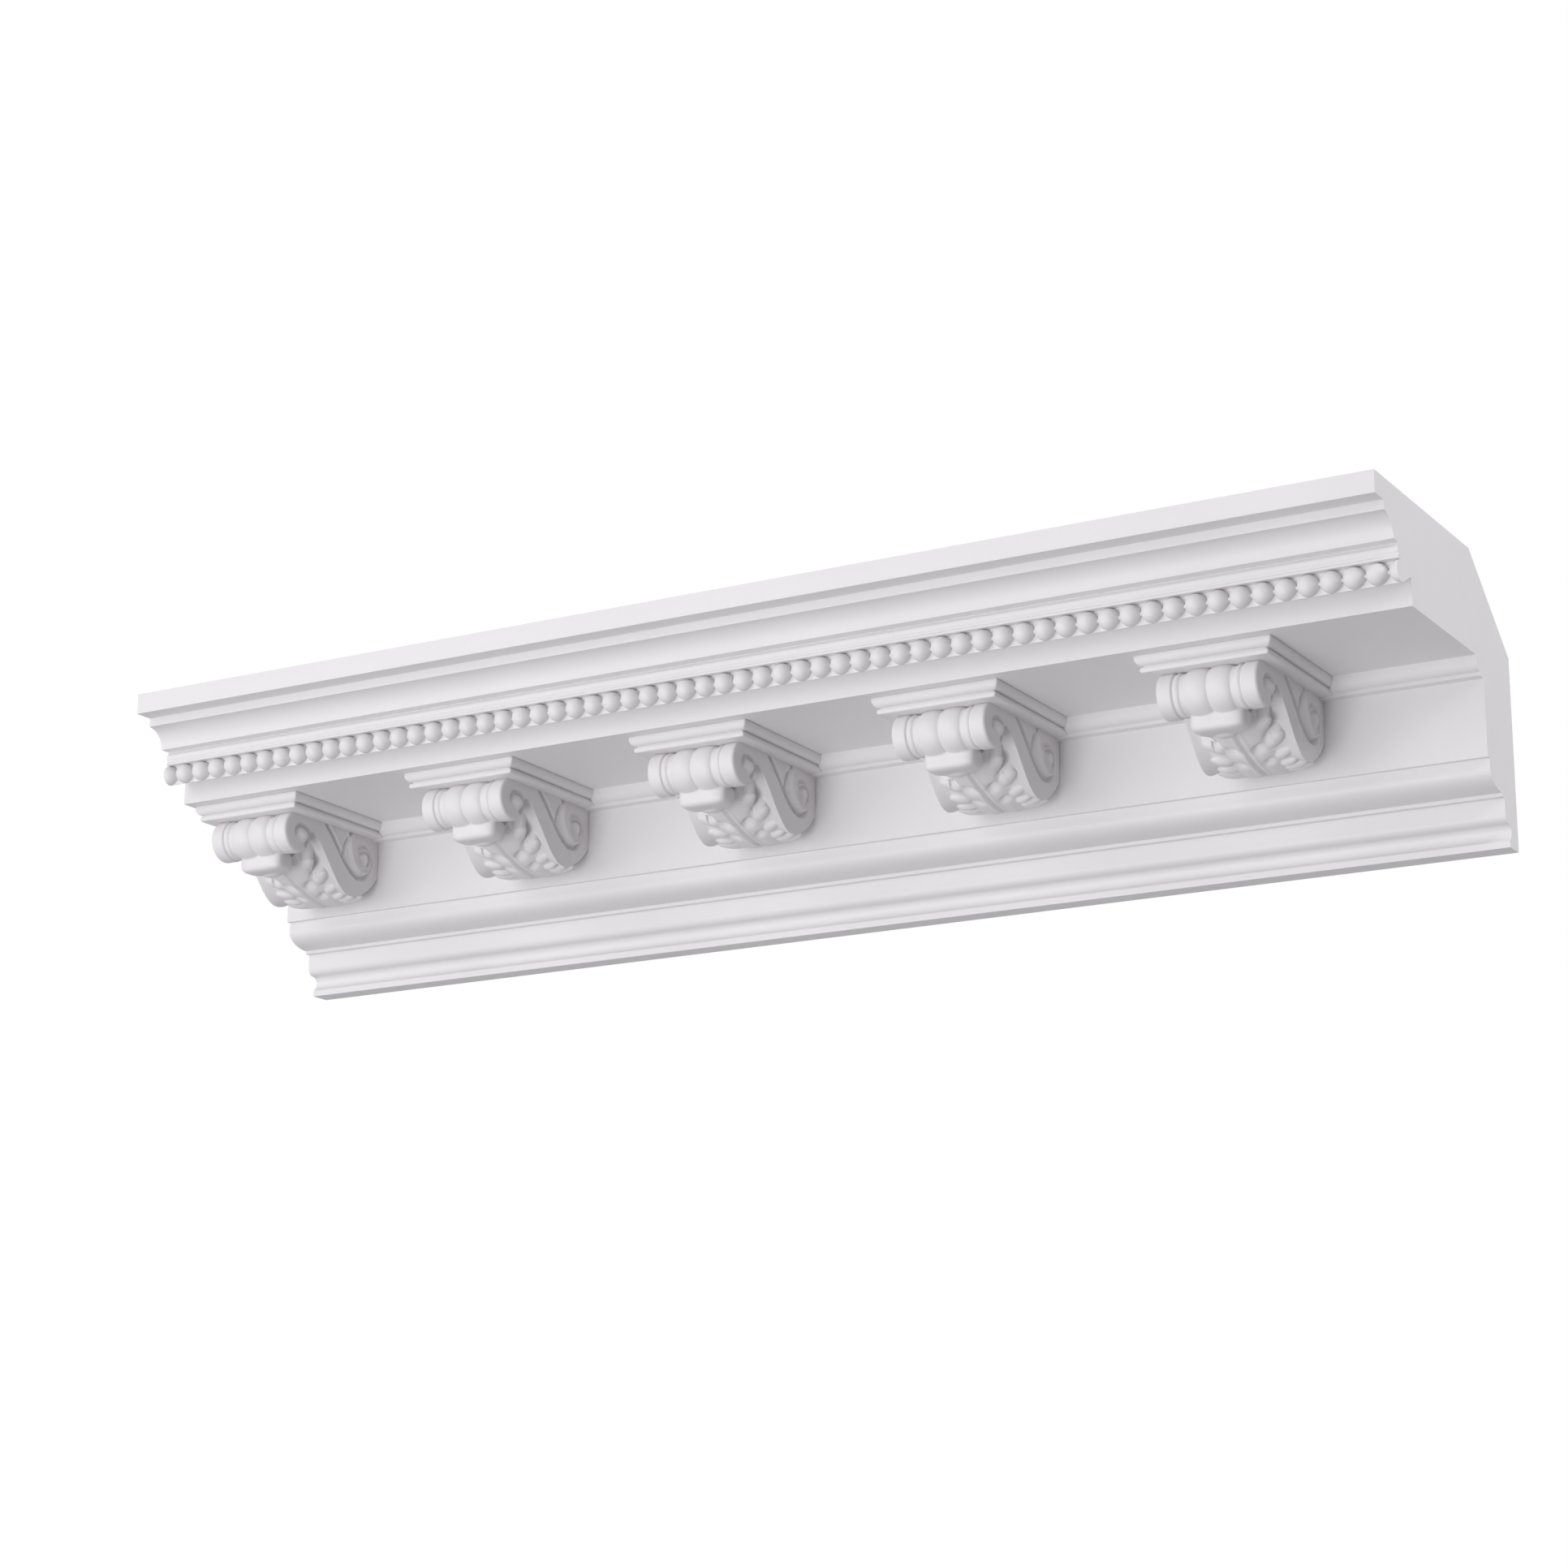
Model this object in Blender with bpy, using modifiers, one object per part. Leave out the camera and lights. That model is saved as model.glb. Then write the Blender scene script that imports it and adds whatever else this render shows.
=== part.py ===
"""Moulded cornice with a bead row and scrolled brackets, in metres, +Z up.

The length runs along X, with its middle at X = 0. The wall is the plane Y = 0 and the room is
on the -Y side. Z = 0 is half-way up the face that lies on the wall. In the code, "out" is the
distance from the wall and "height" the distance above the bottom edge.
"""
from math import ceil, copysign, cos, floor, pi, radians, sin

import bmesh
import bpy
from mathutils import Matrix, Vector

MM = 0.001

# Overall sizes
LENGTH = 1028.8 * MM
DROP = 200.0 * MM
PROJECTION = 254.5 * MM
WALL_FACE_HEIGHT = 140.3 * MM
CEILING_FACE_SETBACK = 74.5 * MM

# Foot fillet and cyma, from the bottom edge up
FOOT_FILLET_HEIGHT = 4.8 * MM
FOOT_FILLET_OUT = 17.6 * MM
SCOTIA_HEIGHT = 11.6 * MM
SCOTIA_DEPTH = 5.7 * MM
SCOTIA_START_ANGLE = 245
NOSE_HEIGHT = 5.6 * MM
NOSE_DEPTH = 5.8 * MM
NOSE_FACE_HEIGHT = 11.3 * MM
NOSE_OUT = 25.3 * MM

# Neck fillet and ovolo below the frieze
NECK_HEIGHT = 2.7 * MM
NECK_STEP = 4.7 * MM
LOWER_OVOLO_HEIGHT = 12.0 * MM
LOWER_OVOLO_DEPTH = 22.4 * MM
LOWER_OVOLO_FACE_HEIGHT = 7.4 * MM

# Frieze, and the bed mould between it and the soffit
FRIEZE_OUT = 56.0 * MM
BED_FILLET_HEIGHT = 2.7 * MM
BED_FILLET_STEP = 7.6 * MM
BED_OVOLO_HEIGHT = 10.6 * MM
BED_OVOLO_DEPTH = 6.7 * MM

# Corona, and the seat of the beads above it
CORONA_HEIGHT = 19.9 * MM
CORONA_RECESS = 17.6 * MM
LIP_DROP = 8.8 * MM
SEAT_HEIGHT = 15.4 * MM
SEAT_RECESS = 5.8 * MM

# Band above the beads: a face, a quirk and a thin reed
REED_HEIGHT = 2.4 * MM
QUIRK_HEIGHT = 2.2 * MM
QUIRK_DEPTH = 1.1 * MM
BAND_FACE_HEIGHT = 3.2 * MM
BAND_CHAMFER_HEIGHT = 3.2 * MM
BAND_CHAMFER_DEPTH = 2.4 * MM
BAND_RECESS = 7.0 * MM

# Cove, fillet and fascia at the top
COVE_HEIGHT = 15.2 * MM
COVE_DEPTH = 15.8 * MM
COVE_FILLET_HEIGHT = 6.8 * MM
FASCIA_HEIGHT = 16.0 * MM
FASCIA_OVERHANG = 15.3 * MM

# Bead row
BEAD_DIAMETER = 15.0 * MM
BEAD_GAP = 1.075 * MM
BEAD_STAND = 1.0 * MM
BEAD_SUNK_ANGLE = -20
BEAD_SIDES = 8
BEAD_RINGS = 3

# Brackets
BRACKET_PITCH = 205.2 * MM
FIRST_BRACKET_INSET = 53.4 * MM
BRACKET_WIDTH = 74.8 * MM

# Bracket cap: an ovolo over a quirk and a thin bead, returned round both sides
CAP_OVERHANG = 13.1 * MM
CAP_SETBACK = 10.0 * MM
CAP_OVOLO_HEIGHT = 7.2 * MM
CAP_OVOLO_DEPTH = 4.4 * MM
CAP_QUIRK_HEIGHT = 0.9 * MM
CAP_QUIRK_DEPTH = 0.6 * MM
CAP_BEAD_HEIGHT = 4.0 * MM
CAP_BEAD_STAND = 1.4 * MM
CAP_STEPS = 4

# Front roll of the bracket, turned about its own axis
ROLL_SETBACK = 5.5 * MM
ROLL_RADIUS = 16.5 * MM
ROLL_SINK = 1.8 * MM
ROLL_BAND_WIDTH = 11.0 * MM
ROLL_PROUD = 0.3 * MM
GROOVE_WIDTH = 1.6 * MM
GROOVE_DEPTH = 1.3 * MM
RIDGE_WIDTH = 2.4 * MM
FLUTE_WIDTH = 4.0 * MM
FLUTE_DEPTH = 1.2 * MM
REED_STAND = 1.3 * MM
REED_CREST_INSET = 4.6 * MM
ROLL_STEPS = 14

# Scroll behind the roll
NOTCH_GAP = 2.9 * MM
NOTCH_RISE = 3.9 * MM
BELLY_DROP = 65.0 * MM
BELLY_STEP = 36.0 * MM
HEEL_RISE = 22.0 * MM
CHEEK_WIDTH = 4.4 * MM
TROUGH_DEPTH = 6.0 * MM
TROUGH_FRONT_DEPTH = 2.0 * MM
TROUGH_LEAN = 0.5
SWEEP_STEPS = 6
HEEL_STEPS = 3

# Pull of the scroll's curves at their ends, as shares of each curve's run and rise
NOTCH_PULL = (0.35, 0.22)
BELLY_FRONT_PULL = 0.36
BELLY_BACK_PULL = 0.4
HEEL_PULL = (0.2, 0.45)

# Leaf under the scroll, from its free heel near the frieze to its tip under the roll
LEAF_TIP_GAP = 5.6 * MM
LEAF_HEEL_GAP = 11.0 * MM
LEAF_TIP_RISE = 21.5 * MM
LEAF_HEEL_RISE = 2.6 * MM
LEAF_HALF_WIDTH = 27.5 * MM
LEAF_TIP_NARROWING = 5.5 * MM
LEAF_TIP_EDGE_RISE = 4.4 * MM
LEAF_HEEL_EDGE_RISE = 1.3 * MM
LEAF_BLADE_RISE = 1.1 * MM
LEAF_BLADE_SHARE = 0.6
LOBE_DEPTH = 4.6 * MM
LOBE_COUNT = 5
RIB_HALF_WIDTH = 2.8 * MM
RIB_STAND = 1.0 * MM

# How sharply the leaf turns up at its tip and heel, narrows to its tip and rounds its lobes
TIP_TURN = 1.7
HEEL_TURN = 6
NARROWING_TURN = 3
LOBE_ROUNDING = 0.7

# Turned-over tip of the leaf, under the roll
TIP_HALF_WIDTH = 22.5 * MM
TIP_LENGTH = 38.0 * MM
TIP_THICKNESS = 15.5 * MM
TIP_TILT = radians(21)
TIP_BELOW_ROLL = 15.2 * MM
TIP_BEHIND_ROLL = 12.5 * MM
TIP_SIDES = 8
TIP_RINGS = 6

# Spiral grooves on the scroll's sides
SPIRAL_GROOVE_RADIUS = 1.5 * MM
FRONT_EYE_RADIUS = 8.2 * MM
FRONT_EYE_SETBACK = 5.5 * MM
FRONT_EYE_DROP = 1.2 * MM
FRONT_EYE_START_ANGLE = 220
BACK_EYE_RADIUS = 9.3 * MM
BACK_EYE_STEP = 20.0 * MM
BACK_EYE_DROP = 31.5 * MM
BACK_EYE_START_ANGLE = 190
BACK_EYE_END_ANGLE = -30

# Points that lead the back spiral's long sweep, measured from its eye
BACK_SWEEP_START_OUT = 46.5 * MM
BACK_SWEEP_START_GAP = 2.8 * MM
BACK_SWEEP_UPPER_LEAD = (28.0 * MM, 2.8 * MM)
BACK_SWEEP_LOWER_LEAD = (15.0 * MM, -24.0 * MM)
BACK_SWEEP_END = (-5.6 * MM, -11.2 * MM)
BACK_SWEEP_STEPS = 4

# Building allowances: how far joined pieces run into each other, the length sawn off at each end
EMBED = 3.0 * MM
SAW_ALLOWANCE = 20.0 * MM
ARC_STEPS = 5
WELD_DISTANCE = 0.002 * MM
AXIS_WELD_DISTANCE = 0.01 * MM
SHARP_ANGLE = radians(30)


# Heights and projections that follow from the sizes above
FASCIA_FOOT = DROP - FASCIA_HEIGHT
COVE_TOP = FASCIA_FOOT - COVE_FILLET_HEIGHT
COVE_FOOT = COVE_TOP - COVE_HEIGHT
BAND_TOP = COVE_FOOT - BAND_CHAMFER_HEIGHT
QUIRK_TOP = BAND_TOP - BAND_FACE_HEIGHT
REED_TOP = QUIRK_TOP - QUIRK_HEIGHT
SEAT_TOP = REED_TOP - REED_HEIGHT
LIP_HEIGHT = SEAT_TOP - SEAT_HEIGHT
CORONA_TOP = LIP_HEIGHT + LIP_DROP
SOFFIT = CORONA_TOP - CORONA_HEIGHT
BED_FOOT = SOFFIT - BED_OVOLO_HEIGHT
FRIEZE_TOP = BED_FOOT - BED_FILLET_HEIGHT
COVE_OUT = PROJECTION - FASCIA_OVERHANG
BAND_OUT = COVE_OUT - COVE_DEPTH - BAND_RECESS
SEAT_OUT = BAND_OUT - SEAT_RECESS
CORONA_OUT = SEAT_OUT - CORONA_RECESS
SCOTIA_TOP = FOOT_FILLET_HEIGHT + SCOTIA_HEIGHT
NOSE_FACE_FOOT = SCOTIA_TOP + NOSE_HEIGHT
NECK_FOOT = NOSE_FACE_FOOT + NOSE_FACE_HEIGHT
NECK_TOP = NECK_FOOT + NECK_HEIGHT
LOWER_OVOLO_TOP = NECK_TOP + LOWER_OVOLO_HEIGHT
FRIEZE_FOOT = LOWER_OVOLO_TOP + LOWER_OVOLO_FACE_HEIGHT
NECK_OUT = NOSE_OUT + NECK_STEP
BED_OUT = FRIEZE_OUT + BED_FILLET_STEP

CAP_HEIGHT = CAP_OVOLO_HEIGHT + CAP_QUIRK_HEIGHT + CAP_BEAD_HEIGHT
CAP_FOOT = SOFFIT - CAP_HEIGHT
CAP_OUT = CORONA_OUT - CAP_SETBACK
CAP_HALF_WIDTH = BRACKET_WIDTH / 2 + CAP_OVERHANG
ROLL_OUT = CAP_OUT - ROLL_SETBACK - ROLL_RADIUS
ROLL_HEIGHT = CAP_FOOT - ROLL_RADIUS + ROLL_SINK
NOTCH_OUT = ROLL_OUT - ROLL_RADIUS - NOTCH_GAP
NOTCH_HEIGHT = ROLL_HEIGHT + NOTCH_RISE
BELLY_HEIGHT = SOFFIT - BELLY_DROP
BELLY_OUT = FRIEZE_OUT + BELLY_STEP
LEAF_HEEL_OUT = FRIEZE_OUT + LEAF_HEEL_GAP
LEAF_TIP_OUT = NOTCH_OUT - LEAF_TIP_GAP
BACK_EYE_OUT = FRIEZE_OUT + BACK_EYE_STEP


def arc(centre, radius_out, radius_up, start, end, steps=ARC_STEPS):
    """Points on an ellipse, by angle in degrees from straight out of the wall towards up."""
    points = []
    for i in range(steps + 1):
        angle = radians(start + (end - start) * i / steps)
        points.append((centre[0] + radius_out * cos(angle), centre[1] + radius_up * sin(angle)))
    return points


def bezier(a, b, c, d, steps):
    """Points on a cubic curve from a to d, led by b and c."""
    points = []
    for i in range(steps + 1):
        t = i / steps
        u = 1 - t
        weights = (u ** 3, 3 * u * u * t, 3 * u * t * t, t ** 3)
        out = sum(weight * point[0] for weight, point in zip(weights, (a, b, c, d)))
        height = sum(weight * point[1] for weight, point in zip(weights, (a, b, c, d)))
        points.append((out, height))
    return points


def lower_members():
    """Outline of the foot, cyma, neck and lower ovolo, from the bottom edge up."""
    scotia_centre = (NOSE_OUT - NOSE_DEPTH, FOOT_FILLET_HEIGHT + SCOTIA_HEIGHT / 2)
    nose_centre = (NOSE_OUT - NOSE_DEPTH, NOSE_FACE_FOOT)
    ovolo_centre = (NECK_OUT, LOWER_OVOLO_TOP)
    points = [(0, 0), (FOOT_FILLET_OUT, 0), (FOOT_FILLET_OUT, FOOT_FILLET_HEIGHT)]
    points += arc(scotia_centre, SCOTIA_DEPTH, SCOTIA_HEIGHT / 2,
                  SCOTIA_START_ANGLE, 90, 2 * ARC_STEPS)
    points += arc(nose_centre, NOSE_DEPTH, NOSE_HEIGHT, 270, 360)[1:]
    points += [(NOSE_OUT, NECK_FOOT), (NECK_OUT, NECK_FOOT)]
    points += arc(ovolo_centre, LOWER_OVOLO_DEPTH, LOWER_OVOLO_HEIGHT, 270, 360)
    points += [(NECK_OUT + LOWER_OVOLO_DEPTH, FRIEZE_FOOT)]
    return points


def frieze_members():
    """Outline of the frieze and the bed mould, up to the soffit."""
    ovolo_centre = (BED_OUT, SOFFIT)
    points = [(FRIEZE_OUT, FRIEZE_FOOT), (FRIEZE_OUT, FRIEZE_TOP), (BED_OUT, FRIEZE_TOP)]
    points += arc(ovolo_centre, BED_OVOLO_DEPTH, BED_OVOLO_HEIGHT, 270, 360)
    return points


def corona_members():
    """Outline of the soffit, the corona's face, the undercut lip and the seat of the beads."""
    return [
        (CORONA_OUT, SOFFIT),
        (CORONA_OUT, CORONA_TOP),
        (SEAT_OUT, LIP_HEIGHT),
        (SEAT_OUT, SEAT_TOP),
    ]


def crown_members():
    """Outline of the band over the beads, the cove and the fascia."""
    cove_centre = (COVE_OUT, COVE_FOOT)
    points = [
        (BAND_OUT, SEAT_TOP),
        (BAND_OUT, REED_TOP),
        (BAND_OUT - QUIRK_DEPTH, REED_TOP + QUIRK_HEIGHT / 2),
        (BAND_OUT, QUIRK_TOP),
        (BAND_OUT, BAND_TOP),
        (BAND_OUT - BAND_CHAMFER_DEPTH, COVE_FOOT),
    ]
    points += arc(cove_centre, COVE_DEPTH, COVE_HEIGHT, 180, 90)
    points += [(COVE_OUT, FASCIA_FOOT), (PROJECTION, FASCIA_FOOT), (PROJECTION, DROP)]
    return points


def run_outline():
    """The whole cross-section, from the bottom edge round the front to the wall face."""
    points = lower_members() + frieze_members() + corona_members() + crown_members()
    return points + [(CEILING_FACE_SETBACK, DROP), (0, WALL_FACE_HEIGHT)]


def make_material():
    """White satin paint on a moulded body."""
    material = bpy.data.materials.new("moulded_white")
    material.use_nodes = True
    shader = material.node_tree.nodes["Principled BSDF"]
    shader.inputs["Base Color"].default_value = (0.82, 0.81, 0.83, 1)
    shader.inputs["Roughness"].default_value = 0.5
    shader.inputs["Metallic"].default_value = 0.0
    return material


def make_collection(name):
    collection = bpy.data.collections.new(name)
    bpy.context.scene.collection.children.link(collection)
    return collection


def add_object(name, data, collection):
    obj = bpy.data.objects.new(name, data)
    collection.objects.link(obj)
    return obj


def to_mesh_object(name, maker):
    """Turn a curve, or a mesh with modifiers, into a plain welded mesh in the same place."""
    bpy.context.view_layer.update()
    graph = bpy.context.evaluated_depsgraph_get()
    mesh = bpy.data.meshes.new_from_object(maker.evaluated_get(graph), depsgraph=graph)
    mesh.transform(maker.matrix_world)
    bm = bmesh.new()
    bm.from_mesh(mesh)
    bmesh.ops.remove_doubles(bm, verts=bm.verts, dist=WELD_DISTANCE)
    bm.to_mesh(mesh)
    bm.free()
    obj = add_object(name, mesh, maker.users_collection[0])
    bpy.data.objects.remove(maker)
    return obj


def prism(name, outline, half_width, collection):
    """Extrude an (out, height) outline to both sides along X."""
    curve = bpy.data.curves.new(name, "CURVE")
    curve.dimensions = "2D"
    curve.fill_mode = "BOTH"
    curve.extrude = half_width
    spline = curve.splines.new("POLY")
    spline.points.add(len(outline) - 1)
    for point, (across, up) in zip(spline.points, outline):
        point.co = (across, up, 0, 1)
    spline.use_cyclic_u = True
    maker = add_object(name + "_outline", curve, collection)
    maker.rotation_euler = (radians(90), 0, radians(-90))
    maker.location.z = -WALL_FACE_HEIGHT / 2
    return to_mesh_object(name, maker)


def boolean(obj, other, operation):
    """Join, cut or trim one solid with another, and leave the other as a hidden guide."""
    modifier = obj.modifiers.new(operation.lower() + "_" + other.name, "BOOLEAN")
    modifier.operation = operation
    modifier.solver = "EXACT"
    modifier.object = other
    other.hide_render = True
    other.display_type = "WIRE"


def merge(name, first, *steps):
    """Apply a chain of (operation, other) to the first solid and drop the pieces used."""
    for operation, other in steps:
        boolean(first, other, operation)
    solid = to_mesh_object(name, first)
    for operation, other in steps:
        bpy.data.objects.remove(other)
    return solid


def place(out, height, side=0.0):
    """A point of the part from its side position, distance from the wall and height."""
    return Vector((side, -out, height - WALL_FACE_HEIGHT / 2))


def turned(name, profile, steps, collection):
    """Turn a (radius, height) profile, running from top to bottom, about the vertical axis."""
    mesh = bpy.data.meshes.new(name + "_profile")
    edges = [(i, i + 1) for i in range(len(profile) - 1)]
    mesh.from_pydata([(radius, 0, height) for radius, height in profile], edges, [])
    maker = add_object(name + "_profile", mesh, collection)
    screw = maker.modifiers.new("turn", "SCREW")
    screw.steps = steps
    screw.render_steps = steps
    screw.use_merge_vertices = True
    screw.merge_threshold = AXIS_WELD_DISTANCE
    return to_mesh_object(name, maker)


def row_of(name, solid, positions, collection):
    """One mesh of several separate copies of a solid, one at each position along X."""
    bm = bmesh.new()
    for x in positions:
        before = len(bm.verts)
        bm.from_mesh(solid.data)
        bm.verts.ensure_lookup_table()
        bmesh.ops.translate(bm, verts=bm.verts[before:], vec=(x, 0, 0))
    mesh = bpy.data.meshes.new(name)
    bm.to_mesh(mesh)
    bm.free()
    bpy.data.objects.remove(solid)
    return add_object(name, mesh, collection)


def make_bead_row(collection):
    """Beads half sunk in their seat, from the left end on, the end ones sawn through."""
    pitch = BEAD_DIAMETER + BEAD_GAP
    count = ceil(LENGTH / pitch) + 1
    radius = BEAD_DIAMETER / 2
    profile = arc((0, 0), radius, radius, 90, BEAD_SUNK_ANGLE, BEAD_RINGS)
    profile += [(0, profile[-1][1])]
    bead = turned("bead", profile, BEAD_SIDES, collection)
    bead.data.transform(Matrix.Rotation(radians(90), 4, "X"))
    bead.data.transform(Matrix.Translation(place(SEAT_OUT + BEAD_STAND, (LIP_HEIGHT + SEAT_TOP) / 2)))
    positions = [-LENGTH / 2 + i * pitch for i in range(count)]
    return row_of("bead_row", bead, positions, collection)


def cap_section():
    """(inset, height) of the cap's moulded edge, from above the soffit down to its foot."""
    quirk_top = SOFFIT - CAP_OVOLO_HEIGHT
    bead_top = quirk_top - CAP_QUIRK_HEIGHT
    quirk_inset = CAP_OVOLO_DEPTH + CAP_QUIRK_DEPTH
    bead_inset = CAP_OVOLO_DEPTH - CAP_BEAD_STAND
    points = [(0, SOFFIT + EMBED)]
    points += arc((CAP_OVOLO_DEPTH, SOFFIT), CAP_OVOLO_DEPTH, CAP_OVOLO_HEIGHT, 180, 270, CAP_STEPS)
    points += [(quirk_inset, quirk_top), (quirk_inset, bead_top)]
    return points + [(bead_inset, bead_top), (bead_inset, CAP_FOOT)]


def make_cap(collection):
    """The bracket's cap: a block with a mitred moulded edge, its back sunk in the frieze."""
    back = FRIEZE_OUT - EMBED - CAP_OVOLO_DEPTH - CAP_QUIRK_DEPTH
    middle = (CAP_OUT + back) / 2
    bm = bmesh.new()
    bmesh.ops.create_grid(bm, x_segments=1, y_segments=1, size=PROJECTION)
    level = bm.verts[:] + bm.edges[:] + bm.faces[:]
    for inset, height in cap_section():
        for corner in level:
            if isinstance(corner, bmesh.types.BMVert):
                side = copysign(CAP_HALF_WIDTH - inset, corner.co.x)
                out = middle - copysign(CAP_OUT - middle - inset, corner.co.y + middle)
                corner.co = place(out, height, side)
        if height > CAP_FOOT:
            level = bmesh.ops.extrude_face_region(bm, geom=level)["geom"]
    bmesh.ops.recalc_face_normals(bm, faces=bm.faces)
    mesh = bpy.data.meshes.new("cap")
    bm.to_mesh(mesh)
    bm.free()
    return add_object("cap", mesh, collection)


def roll_profile():
    """Side position and radius along half of the roll, from its middle to its end."""
    end = BRACKET_WIDTH / 2 + ROLL_PROUD
    band_start = end - ROLL_BAND_WIDTH
    groove_start = band_start - GROOVE_WIDTH
    ridge_start = groove_start - RIDGE_WIDTH
    flute = ridge_start - FLUTE_WIDTH / 2
    reed_end = ridge_start - FLUTE_WIDTH
    return [
        (0, ROLL_RADIUS - GROOVE_DEPTH),
        (REED_CREST_INSET, ROLL_RADIUS + REED_STAND),
        (reed_end - REED_CREST_INSET, ROLL_RADIUS + REED_STAND),
        (flute, ROLL_RADIUS - FLUTE_DEPTH),
        (ridge_start + RIDGE_WIDTH / 2, ROLL_RADIUS),
        (band_start - GROOVE_WIDTH / 2, ROLL_RADIUS - GROOVE_DEPTH),
        (band_start, ROLL_RADIUS),
        (end, ROLL_RADIUS),
        (end, 0),
    ]


def make_roll(collection):
    """The reeded roll at the bracket's front: its profile turned about the roll's own axis."""
    half = roll_profile()
    profile = [(radius, side) for side, radius in reversed(half)]
    profile += [(radius, -side) for side, radius in half[1:]]
    roll = turned("roll", profile, ROLL_STEPS, collection)
    roll.data.transform(Matrix.Rotation(radians(90), 4, "Y"))
    roll.data.transform(Matrix.Translation(place(ROLL_OUT, ROLL_HEIGHT)))
    return roll


def scroll_edge():
    """Lower edge of the scroll's side, from the notch behind the roll round to the heel."""
    notch = (NOTCH_OUT, NOTCH_HEIGHT)
    belly = (BELLY_OUT, BELLY_HEIGHT)
    heel = (FRIEZE_OUT, BELLY_HEIGHT + HEEL_RISE)
    reach = NOTCH_OUT - BELLY_OUT
    fall = NOTCH_HEIGHT - BELLY_HEIGHT
    below_notch = (NOTCH_OUT - NOTCH_PULL[0] * reach, NOTCH_HEIGHT - NOTCH_PULL[1] * fall)
    before_belly = (BELLY_OUT + BELLY_FRONT_PULL * reach, BELLY_HEIGHT)
    after_belly = (BELLY_OUT - BELLY_BACK_PULL * BELLY_STEP, BELLY_HEIGHT)
    below_heel = (FRIEZE_OUT + HEEL_PULL[0] * BELLY_STEP, heel[1] - HEEL_PULL[1] * HEEL_RISE)
    points = bezier(notch, below_notch, before_belly, belly, SWEEP_STEPS)
    return points + bezier(belly, after_belly, below_heel, heel, HEEL_STEPS)[1:]


def make_scroll(collection):
    """The bracket's body: an S-curved side outline, troughed underneath between two cheeks."""
    edge = scroll_edge()
    back = FRIEZE_OUT - EMBED
    top = CAP_FOOT + EMBED
    outline = [(ROLL_OUT, top), (ROLL_OUT, ROLL_HEIGHT)] + edge
    outline += [(back, edge[-1][1]), (back, top)]
    body = prism("scroll", outline, BRACKET_WIDTH / 2, collection)
    ceiling = [(ROLL_OUT, NOTCH_HEIGHT + TROUGH_FRONT_DEPTH)]
    sweep = edge[1:SWEEP_STEPS + 2]
    for i, (out, height) in enumerate(sweep):
        depth = TROUGH_DEPTH * sin(pi * (i + 1) / (len(sweep) + 1))
        ceiling.append((out - TROUGH_LEAN * depth, height + depth))
    under = BELLY_HEIGHT - EMBED
    trough_outline = ceiling + [(sweep[-1][0], under), (ROLL_OUT, under)]
    trough = prism("trough", trough_outline, BRACKET_WIDTH / 2 - CHEEK_WIDTH, collection)
    return merge("scroll", body, ("DIFFERENCE", trough))


def leaf_spine(t):
    """Height of the leaf's rib along its length, 0 at the heel and 1 at the tip."""
    return BELLY_HEIGHT + LEAF_TIP_RISE * t ** TIP_TURN + LEAF_HEEL_RISE * (1 - t) ** HEEL_TURN


def leaf_half_width(t):
    """Half-width of the leaf along its length, with its lobes."""
    lobe = abs(sin(pi * LOBE_COUNT * t)) ** LOBE_ROUNDING
    return LEAF_HALF_WIDTH - LEAF_TIP_NARROWING * t ** NARROWING_TURN - LOBE_DEPTH * (1 - lobe)


def leaf_section(t):
    """(side, height) points of the leaf's lower surface, across from one edge to the other."""
    edge = leaf_half_width(t)
    edge_rise = LEAF_HEEL_EDGE_RISE + (LEAF_TIP_EDGE_RISE - LEAF_HEEL_EDGE_RISE) * t
    blade = [(edge, edge_rise), (LEAF_BLADE_SHARE * edge, LEAF_BLADE_RISE)]
    rib = [(RIB_HALF_WIDTH, -RIB_STAND)]
    half = [(side, leaf_spine(t) + rise) for side, rise in blade + rib]
    return [(-side, height) for side, height in half] + [(0, leaf_spine(t))] + half[::-1]


def make_leaf(collection):
    """The lobed leaf under the scroll, as a block from its lower surface up into the scroll."""
    rows = 2 * LOBE_COUNT
    columns = len(leaf_section(0)) - 1
    bm = bmesh.new()
    bmesh.ops.create_grid(bm, x_segments=columns, y_segments=rows, size=0.5)
    for vert in bm.verts:
        t = round((vert.co.y + 0.5) * rows) / rows
        side, height = leaf_section(t)[round((vert.co.x + 0.5) * columns)]
        vert.co = place(LEAF_HEEL_OUT + (LEAF_TIP_OUT - LEAF_HEEL_OUT) * t, height, side)
    block = bmesh.ops.extrude_face_region(bm, geom=bm.faces[:])
    for item in block["geom"]:
        if isinstance(item, bmesh.types.BMVert):
            item.co.z = place(0, ROLL_HEIGHT).z
    bmesh.ops.recalc_face_normals(bm, faces=bm.faces)
    mesh = bpy.data.meshes.new("leaf")
    bm.to_mesh(mesh)
    bm.free()
    return add_object("leaf", mesh, collection)


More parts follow.
